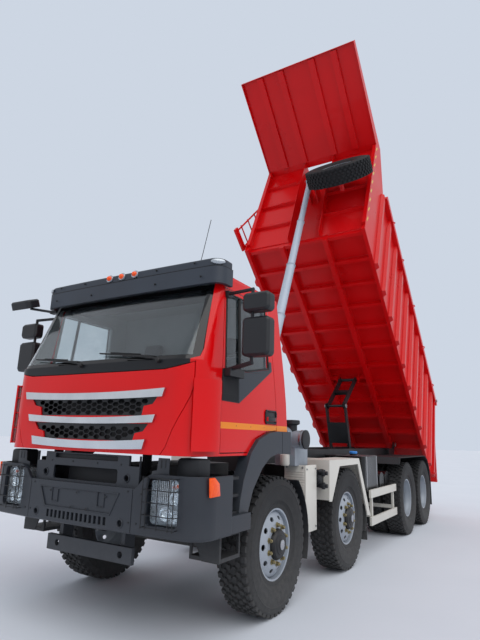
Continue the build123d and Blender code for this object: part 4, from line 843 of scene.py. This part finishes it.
film = overlap(tree, between(tree, height, *strip_z), between(tree, out, *strip_out),
               between(tree, run_y, start - door_front, start + 0.3))
covered(cab_red, film, "F28A10", 0.3)
steps = put(tree, "ShaderNodeMath", {0: run_y, 1: dot_pitch}, operation="PINGPONG").outputs[0]
dots = overlap(tree, film, between(tree, steps, -0.01, dot_half), between(tree, height, *dots_z))
covered(cab_red, dots, "8E5A20", 0.4)
cowl = overlap(tree, between(tree, height, *cowl_z), between(tree, out, *cowl_out),
               between(tree, run_y, start - cowl_front, start - cowl_back))
covered(cab_red, cowl, "14171B", 0.5, 0.0)
wall = overlap(tree, between(tree, height, *wall_z), between(tree, out, *wall_out),
               between(tree, run_y, start - bulkhead_front - 0.0055, start - bulkhead_front + 0.0075))
covered(cab_red, wall, "0B0C0E", 0.7, 0.0)
# Painted shade: faces under the cab that point downwards, and all of the shell below its bottom edge, are painted
# near-black where shade falls under the cab
tilt = put(tree, "ShaderNodeSeparateXYZ", {0: coordinates["Normal"]}).outputs["Z"]
painted_underside_shade = overlap(tree, between(tree, height, *underside_shade_z), between(tree, tilt, -1.1, -0.8))
painted_foot_shade = between(tree, height, *foot_shade_z)
for share in (painted_underside_shade, painted_foot_shade):
    covered(cab_red, share, "111214", 0.7, 0.0)
dress(cab_red, "cab_shell", "door_left", "door_right")
dress(panel_red, "front_panel")

cab_sections = ((1412, 1140, -1392, 245), (1915, 1140, -1392, 245), (2160, 1130, -1390, 240), (3010, 1072, -975, 90))
cab_bow = 30


def cab_at(z):
    """Half the cab's width, its nose and its corner radius at a height."""
    for lower, upper in zip(cab_sections, cab_sections[1:]):
        if z <= upper[0]:
            break
    share = (z - lower[0]) / (upper[0] - lower[0])
    return [low + (high - low) * share for low, high in zip(lower[1:], upper[1:])]


def skin(x, z, lift=0):
    """A place on the cab's front, or standing off it."""
    half, front, radius = cab_at(z)
    flat = half - radius
    y = front + cab_bow * (min(abs(x), flat) / half) ** 2
    if abs(x) > flat:
        y += radius - math.sqrt(max(radius ** 2 - (abs(x) - flat) ** 2, 0))
    return at(x, y - lift, z)


# Glass: a laminated screen bent round the cab's corners, green-grey, with a border of black enamel fired on its edge
# that hides the glue, and darker tempered glass in the doors
def sheet_glass(name, tint):
    """Clear float glass with a faint tint, and a thin film of haze that drifts over it."""
    material = bpy.data.materials.new(name)
    material.use_nodes = True
    tree = material.node_tree
    shader = tree.nodes["Principled BSDF"]
    place = put(tree, "ShaderNodeTexCoord").outputs["Object"]
    film = put(tree, "ShaderNodeTexNoise", {"Vector": place, "Scale": 3.0, "Detail": 4.0})
    tone = put(tree, "ShaderNodeMix", {0: film.outputs["Fac"], 6: srgb(tint), 7: srgb("F4F7F7")}, data_type="RGBA")
    haze = put(tree, "ShaderNodeMapRange", {0: film.outputs["Fac"], 3: 0.01, 4: 0.06})
    tree.links.new(tone.outputs[2], shader.inputs["Base Color"])
    tree.links.new(haze.outputs[0], shader.inputs["Roughness"])
    shader.inputs["Transmission Weight"].default_value = 1.0
    shader.inputs["IOR"].default_value = 1.5
    return material


screen_glass = sheet_glass("laminated_screen_glass", "D4DEDD")
border_low, border_high, border_out, border_lean = 2.2, 2.83, 1.262, 0.10476
tree = screen_glass.node_tree
split = put(tree, "ShaderNodeSeparateXYZ", {0: put(tree, "ShaderNodeTexCoord").outputs["Object"]}).outputs
out = put(tree, "ShaderNodeMath", {0: split["X"]}, operation="ABSOLUTE").outputs[0]
lean = put(tree, "ShaderNodeMath", {0: split["Z"], 1: border_lean, 2: out}, operation="MULTIPLY_ADD").outputs[0]
edge = put(tree, "ShaderNodeMath", {0: lean, 1: border_out}, operation="GREATER_THAN").outputs[0]
low = put(tree, "ShaderNodeMath", {0: split["Z"], 1: border_low}, operation="LESS_THAN").outputs[0]
high = put(tree, "ShaderNodeMath", {0: split["Z"], 1: border_high}, operation="GREATER_THAN").outputs[0]
border = put(tree, "ShaderNodeMath", {0: edge, 1: low}, operation="MAXIMUM").outputs[0]
border = put(tree, "ShaderNodeMath", {0: border, 1: high}, operation="MAXIMUM").outputs[0]
covered(screen_glass, border, "0C0D0F", 0.12)
clear = put(tree, "ShaderNodeMath", {0: 1.0, 1: border}, operation="SUBTRACT").outputs[0]
tree.links.new(clear, tree.nodes["Principled BSDF"].inputs["Transmission Weight"])
dress(screen_glass, "windscreen")
dress(sheet_glass("tempered_door_glass", "B9C6CB"), "door_glass_left", "door_glass_right")

# Visor, arches and mirrors: a long anthracite visor in two tiers, screwed to the roof, wheel arches of the same
# reinforced plastic, and mirrors in black housings. Each is moulded with a fine grain that dulls its shine, and a
# near-black band of painted shade marks the gap between the visor's tiers. The seals are black rubber, extruded and
# nearly smooth.
visor_blue = surface("anthracite_visor_moulding", ("29303A", "323A45"), (0.4, 0.52), grain_mm=4, grain=0.12, edge_mm=5)
tree = visor_blue.node_tree
height = put(tree, "ShaderNodeSeparateXYZ", {0: put(tree, "ShaderNodeTexCoord").outputs["Object"]}).outputs["Z"]
tier_gap_shade = (3.015, 3.025)
# Painted shade: a near-black band where the visor's tiers meet, standing for the shade in the gap between them
covered(visor_blue, between(tree, height, *tier_gap_shade), "07080A", 0.8)
arch_grey = surface("anthracite_arch_moulding", ("282D35", "30363F"), (0.42, 0.55), grain_mm=4, grain=0.15, edge_mm=8,
                    dust=0.2, dust_top=1500)
mirror_black = surface("black_mirror_moulding", ("121418", "191C21"), (0.38, 0.5), grain_mm=4, grain=0.15, edge_mm=8)
seal_rubber = surface("extruded_seal_rubber", ("0A0B0C", "101113"), (0.5, 0.62), patch_mm=80, grain_mm=3)
dress(visor_blue, "sun_visor")
dress(arch_grey, "cab_arches")
dress(mirror_black, "mirror_left", "mirror_right", "kerb_mirror")
marker_x = (-181, -18, 152)
marker = turned("marker", [(0, 22), (14, 22), (24, 12), (27, 0), (0, 0)], steps=24)
base = turned("base", [(0, 4), (38, 4), (40, 0), (38, -14), (0, -14)], steps=28)
way = Vector((0, -1, 0.25))
lamps = spread(marker, [aimed(at(x, -1112, 3066), way) for x in marker_x])
bases = spread(base, [aimed(at(x, -1108, 3066), way) for x in marker_x])
oval = turned("oval", [(0, 16), (30, 13), (48, 4), (52, -6), (0, -6)], steps=32)
flat = Matrix.Diagonal((1, 1.25, 0.5, 1))
bases += spread(oval, [ahead(side * 1088, -1064, 3058, (side * 0.62, -0.78, 0.02)) @ flat for side in (1, -1)])
fitted(lamps, "roof_markers", "cab", "lens", amber_lens)
fitted(bases, "roof_lamp_glasses", "cab", "lens", bowl_grey)
spots = [at(x, -1101, 3062) for x in (-900, -540, 420, 860)] + [at(x, -1110, 2925) for x in (-940, -420, 420, 940)]
fitted(repeated("screws", bolt(7), [aimed(spot, Vector((0, -1, 0))) for spot in spots]), "visor_bolts", "cab",
       "black_plastic", seal_rubber)
fitted(wire([at(878, -1040, 3085), at(886, -1025, 3160), at(925, -970, 3520)], 3), "antenna", "cab", "black_plastic",
       seal_rubber)

# Wipers: two pressed steel arms in black on turned pivots under the screen, each with a spring cover and a long
# rubber blade, parked along the foot of the screen
wipers = []
for pivot, end, rise in ((760, 60, 70), (-130, -830, 66)):
    reach = end - pivot
    arm = ((0, 2158, 22), (0.12, 2188, 34), (0.55, 2212, 30))
    blade = [(share, 2186 + rise * share, 16) for share in (0.05, 0.3, 0.6, 1.0)]
    spine = [(share, 2198 + rise * share, 22) for share in (0.3, 0.55, 0.8)]
    for run, radius in ((arm, 8), (blade, 7), (spine, 5)):
        wipers.append(wire([skin(pivot + reach * share, z, lift) for share, z, lift in run], radius))
    hub = turned("hub", [(0, 0), (20, 0), (20, 26), (12, 34), (0, 36)], steps=20)
    wipers += spread(hub, [aimed(skin(pivot, 2150), Vector((0, -1, 0.3)))])
fitted(wipers, "wipers", "cab", "black_plastic", seal_rubber)

# Door trim: a ribbed black moulding and an anthracite panel below the glass, a black grip in its frame, rubber round
# the glass and a slim post in it
window = [(-952, 2130), (-903, 2815), (-195, 2815), (-172, 2225), (-600, 2150)]
# Silvered glass, the one perfectly smooth mirror on the truck
mirror_silver = surface("silvered_mirror_glass", ("C3CBD2", "CFD6DB"), (0.02, 0.05), patch_mm=200, grain=0.0,
                        sockets={"Metallic": 1.0})


trim_middle, trim_sunk = 1.13, -20


def wrapped(piece, side, lift):
    """Lays the outer side of a plate on the door's leaning side, lift millimetres proud of it."""
    for vertex in piece.data.vertices:
        half = cab_at(vertex.co.z * 1000)[0]
        proud = lift if abs(vertex.co.x) > trim_middle else trim_sunk
        vertex.co.x = side * (half + proud) / 1000
    return piece


for hand, side in (("left", 1), ("right", -1)):
    span = (side * 1120, side * 1143)
    trim = [wrapped(plate("side", [(-1006, 1915), (-1008, 1856), (-741, 1852), (-741, 1915)], span, 0), side, 4),
            wrapped(plate("side", [(-1000, 2122), (-1006, 1915), (-741, 1915), (-741, 2138)], span, 0), side, 4)]
    for rib in range(22):
        y = -998 + rib * 11.6
        for low, high in ((1862, 1915), (1915, 2118)):
            rib_outline = [(y, low), (y + 5, low), (y + 5, high), (y, high)]
            trim.append(wrapped(plate("side", rib_outline, span, 0), side, 7))
    fitted(trim, f"door_trim_{hand}", f"door_{hand}", "black_plastic", black_moulding)
    panel = [wrapped(plate("side", outline, span, 0), side, 5)
             for outline in ([(-740, 1850), (-625, 1915), (-740, 1915)],
                             [(-740, 1915), (-625, 1915), (-190, 2160), (-740, 2130)],
                             [(-190, 2160), (-105, 2208), (-112, 2296), (-150, 2296), (-158, 2216), (-600, 2140)])]
    fitted(panel, f"door_panel_{hand}", f"door_{hand}", "black_plastic", arch_grey)
    loop = [at(side * (cab_at(z)[0] + 1), y, z) for y, z in window + window[:1]]
    seals = [wire(loop, 9), wire([at(side * (cab_at(z)[0] - 12), y, z) for y, z in ((-706, 2150), (-667, 2812))], 16)]
    fitted(seals, f"door_seals_{hand}", f"door_{hand}", "black_plastic", seal_rubber)
    grip = [plate("side", [(-236, 1706), (-40, 1706), (-40, 1810), (-236, 1810)], (side * 1137, side * 1145), 6)]
    ring = [(-232, 1702), (-246, 1720), (-246, 1800), (-232, 1818), (-44, 1818), (-30, 1800), (-30, 1720), (-44, 1702),
            (-232, 1702)]
    grip.append(wire([at(side * 1147, y, z) for y, z in ring], 8))
    grip.append(plate("side", [(-215, 1722), (-60, 1722), (-60, 1762), (-215, 1762)], (side * 1146, side * 1163), 7))
    fitted(grip, f"door_grip_{hand}", f"door_{hand}", "black_plastic", mirror_black)
    panes = [block(beside(side, 1346, 1569), (-947, -941), span, 2) for span in ((2222, 2512), (2594, 2726))]
    fitted(panes, f"mirror_glass_{hand}", f"door_{hand}", "glass", mirror_silver)

# Front panel: three bars of moulded plastic, chromed, that mirror the sky and the ground, over a black honeycomb
# moulding with six-sided cells, both clipped to the red panel from behind
chrome = surface("polished_chrome_plate", ("C9CED3", "DDE1E5"), (0.06, 0.14), patch_mm=260, grain_mm=40, grain=0.05,
                 edge_mm=3, sockets={"Metallic": 1.0})
honeycomb = surface("black_honeycomb_moulding", ("0F1114", "16181C"), (0.35, 0.48), grain_mm=4, edge_mm=1)
dress(chrome, "chrome_bars")
dress(honeycomb, "grille")

# Interior: two seats sewn from dark woven fabric over foam on boxed pedestals, a dashboard and a roof console moulded
# in dark grey with a leather grain, and a steering wheel in black rubber on its slanting column
fabric = surface("woven_seat_fabric", ("3C4046", "4A4F56"), (0.85, 0.95), patch_mm=90, grain_mm=2.5, grain=0.6,
                 sockets={"Sheen Weight": 0.4})
dash_grey = surface("grained_dash_moulding", ("2E3237", "383D43"), (0.6, 0.72), grain_mm=3, grain=0.25, edge_mm=4)
dash = plate("side", [(-1228, 1458), (-1228, 2120), (-1110, 2130), (-900, 2080), (-850, 1960), (-930, 1760),
                      (-1040, 1458)], (-1045, 1045), 24)
seat_x = 520
column = (at(seat_x, -930, 1900), at(seat_x, -800, 2130))
console = [dash, block((-930, 930), (-930, -640), (2830, 2950), 24), bar(column[0], column[1], 32, 16)]
for side in (1, -1):
    console += [block((side * seat_x - 200, side * seat_x + 200), (-560, -200), (1458, 1662), 20),
                bar(at(side * seat_x, -5, 2380), at(side * seat_x, 12, 2445), 14)]
fitted(console, "dashboard", "cab", "black_plastic", dash_grey, "cab_interior")
section = [(215 + 15 * math.cos(math.radians(a)), 15 * math.sin(math.radians(a))) for a in range(0, 360, 30)]
grip = [turned("rim", section, steps=48), turned("boss", [(0, -24), (62, -20), (70, -4), (58, 10), (0, 14)], steps=28)]
for angle in (0, 180, -90):
    outwards = turn(angle, "X") @ Vector((0, 1, 0))
    grip.append(bar(outwards * 0.05, outwards * 0.208, 11))
wheel_piece = joined("steering_wheel", grip)
wheel_piece.data.transform(aimed(column[1], column[1] - column[0]))
fitted(wheel_piece, "steering_wheel", "cab", "black_plastic", seal_rubber, "cab_interior")


crown, side_pull = 14, 10
channel_at, channel_half, channel_rise = 0.6, 0.06, 0.35  # the first two as shares of half the pad's width


def pad(x, y, z, lean=0):
    """A sewn pad: a block with two long channels sunk in it, whose faces swell and whose sides pull in."""
    piece = block(x, y, z, 0)
    middle = at(sum(x) / 2, sum(y) / 2, sum(z) / 2)
    size = [(b - a) / 2000 for a, b in (x, y, z)]
    only(piece)
    bpy.ops.object.mode_set(mode="EDIT")
    bpy.ops.mesh.select_all(action="SELECT")
    bpy.ops.mesh.subdivide(number_cuts=9)
    bpy.ops.object.mode_set(mode="OBJECT")
    for vertex in piece.data.vertices:
        place = [(vertex.co[axis] - middle[axis]) / size[axis] for axis in range(3)]
        for axis in range(3):
            rest = [place[other] ** 2 for other in range(3) if other != axis]
            swell = (1 - rest[0]) * (1 - rest[1])
            channel = channel_rise if abs(abs(place[0]) - channel_at) < channel_half and axis != 0 else 1
            vertex.co[axis] += place[axis] * (swell * crown * channel - side_pull * sum(rest) / 2) / 1000
    smooth = piece.modifiers.new("swell", "SUBSURF")
    smooth.levels = smooth.render_levels = 1
    only(piece)
    bpy.ops.object.modifier_apply(modifier="swell")
    bpy.ops.object.shade_smooth()
    hinge = at(sum(x) / 2, y[0], z[0])
    piece.data.transform(Matrix.Translation(hinge) @ turn(lean, "X") @ Matrix.Translation(-hinge))
    return piece


for hand, side in (("left", 1), ("right", -1)):
    middle = side * seat_x
    for name, piece in (("seat_cushion", pad((middle - 245, middle + 245), (-620, -130), (1665, 1800))),
                        ("seat_back", pad((middle - 235, middle + 235), (-175, -55), (1785, 2395), -9)),
                        ("headrest", pad((middle - 128, middle + 128), (-38, 38), (2435, 2615), -9))):
        fitted(piece, f"{name}_{hand}", "cab", "seat_fabric", fabric, "cab_interior")

# Hoist: five honed steel tubes that slide in each other, in pale blue-grey paint with a screwed gland ring at each
# mouth, and the black scissor arms beside them with their greased pins.
hoist_foot = at(0, 1350, 1150)
hoist_run = on_bed(0, 6797, 1300) - hoist_foot
hoist_way = hoist_run.normalized()
stroke = 1024.64
end_room = 190  # how much shorter a tube is than the lowered hoist from its foot pin to its eye
tube_length = hoist_run.length * 1000 - 4 * stroke - end_room
cylinder_paint = surface("pale_cylinder_paint", ("A9B6C4", "B6C2CE"), (0.22, 0.34), patch_mm=500, grain_mm=8,
                         grain=0.04, edge_mm=4, dust=0.1, dust_top=1600)
dress(cylinder_paint, "hoist_barrel", "hoist_stage_1", "hoist_stage_2", "hoist_stage_3", "hoist_stage_4")
dress(chassis_paint, "lower_brace", "upper_brace")


def along_hoist(distance):
    """A place from which a turned piece lies on the hoist's axis, by millimetres from its foot."""
    return aimed(hoist_foot + hoist_way * distance / 1000, hoist_way)


gland = turned("gland", [(86, 0), (112, 0), (112, 44), (106, 50), (86, 50)], steps=48)
collars = spread(gland, [along_hoist(tube_length + 8), along_hoist(70)])
fitted(collars, "hoist_gland", "hoist_barrel", "hoist_paint", cylinder_paint)
for stage, radius, inner in ((1, 82, 72), (2, 72, 62), (3, 62, 52), (4, 52, 38)):
    tip = tube_length + 60 + stage * (stroke + 18)
    gland = turned("gland", [(inner + 2, -2), (radius + 7, -12), (radius + 9, -8), (radius + 9, 0), (inner + 2, 3)],
                   steps=48)
    fitted(spread(gland, [along_hoist(tip)]), f"hoist_gland_{stage}", f"hoist_stage_{stage}", "hoist_paint",
           cylinder_paint)
pin_cap = turned("pin_cap", [(0, 0), (40, 0), (44, 4), (44, 12), (34, 18), (0, 18)], steps=28)
caps = [placed(pin_cap, ahead(side * 200, 4788, 2207, (side, 0, 0))) for side in (1, -1)]
fitted(caps, "elbow_pin_caps", "lower_brace", "cast_steel", strap_steel)
caps = spread(pin_cap, [ahead(side * x, y, z, (side, 0, 0)) for side in (1, -1)
                        for x, y, z in ((351, 5030, 1330), (545, *tip_pin))])
fitted(caps, "frame_pin_caps", "chassis", "cast_steel", strap_steel)

# Bed: 6 to 8 mm wear-plate welded on pressed ribs, in one thick coat of red enamel, with fillet welds along its ribs
# and members. Yellow reflective dashes mark its front edges, and hooks and latches of forged steel hold the tailgate.
bed_red = surface("thick_bed_enamel", ("CC0409", "D8080E"), (0.24, 0.38), patch_mm=900, grain_mm=22, grain=0.1,
                  edge_mm=4, dust=0.12, dust_top=2500, sockets={"Specular IOR Level": 0.25, "Coat Weight": 0.1})
dress(bed_red, "bed_side_left", "bed_side_right", "bed_floor", "bed_front_wall", "bed_canopy", "ladder", "tailgate")


def bed_block(x, u, v, ease):
    """A block square to the bed."""
    return slab([on_bed(x[i], u[j], v[0]) for i, j in corners], upright * (v[1] - v[0]) / 1000, ease)


# Welds: fillet beads of electric welding, painted over with the bed, where its cross members meet the floor and along
# both edges of each side rib
weld_v = 147
welds = []
for member in range(12):
    u = 6080 if member == 11 else 825 + member * 476
    for edge in (u - 36, u + 36):
        for near, far in ((470, 1095), (-470, -1095), (-370, 370)):
            welds.append(wire([on_bed(near, edge, weld_v), on_bed(far, edge, weld_v)], 5, 6))
for side in (1, -1):
    for rib in range(10):
        foot_u = 330 + rib * 560
        for edge in (0, 130):
            ends = [on_bed(side * 1167, foot_u + edge + 0.38 * v, v) for v in (4, 1640)]
            welds.append(wire(ends, 4, 6))
fitted(welds, "bed_welds", "bed", "red_paint", bed_red)

# Bed fittings: dashes of yellow reflective film on the sides' front edges, amber marker lamps between the ribs, and
# hooks of bent round bar for the cover's rope, welded under the top rail
dash_yellow = surface("yellow_reflective_film", ("D9B63A", "E4C65A"), (0.3, 0.42), patch_mm=60, grain_mm=2)
dashes, lamps, hooks = [], [], []
for side in (1, -1):
    for step in range(9):
        v = 240 + step * 230
        u = 6180 + 0.342 * v - 44
        dashes.append(bed_block(beside(side, 1164, 1167), (u - 18, u + 18), (v, v + 120), 0))
    for u in (1450, 3130, 4810):
        lamps.append(bed_block(beside(side, 1165, 1180), (u, u + 90), (60, 100), 5))
    for u in (1300, 2420, 3540, 4660, 5500):
        shift = [(1248, 1600), (1290, 1580), (1300, 1540), (1270, 1510)]
        hooks.append(wire([on_bed(side * x, u, v + 50) for x, v in shift], 9))
fitted(dashes, "reflective_dashes", "bed", "lens", dash_yellow)
fitted(lamps, "bed_side_lamps", "bed", "lens", amber_lens)
fitted(hooks, "rope_hooks", "bed", "red_paint", bed_red)

# Spare wheel clamp: a forged disc in the wheel's middle and a cross bar that press it on its carrier, both plated with
# yellow zinc
rod, reach = spare_middle - spare_axis * 0.09, Vector((0.2, 0, 0))
clamp = [bar(spare_middle - spare_axis * 0.10, spare_middle - spare_axis * 0.05, 60, 20),
         bar(rod + reach, rod - reach, 24, 12)]
fitted(clamp, "spare_clamp", "bed", "cast_steel", zinc_plate)

# Tailgate fittings: bright steel hinge pins at its top corners, held in the bed's lugs, and two forged latch hooks at
# its foot, painted with the bed
gate_pins, hooks = [], []
for side in (1, -1):
    gate_pins.append(bar(on_bed(side * 1225, 700, 1715), on_bed(side * 1275, 700, 1715), 34, 20))
    hooks.append(bar(on_bed(side * 1190, 60, 60), on_bed(side * 1245, 60, 60), 26, 16))
    hooks.append(bed_block(beside(side, 1196, 1222), (-60, 120), (40, 84), 6))
fitted(gate_pins, "gate_bushes", "bed", "cast_steel", strap_steel)
fitted(hooks, "gate_latches", "bed", "red_paint", bed_red)
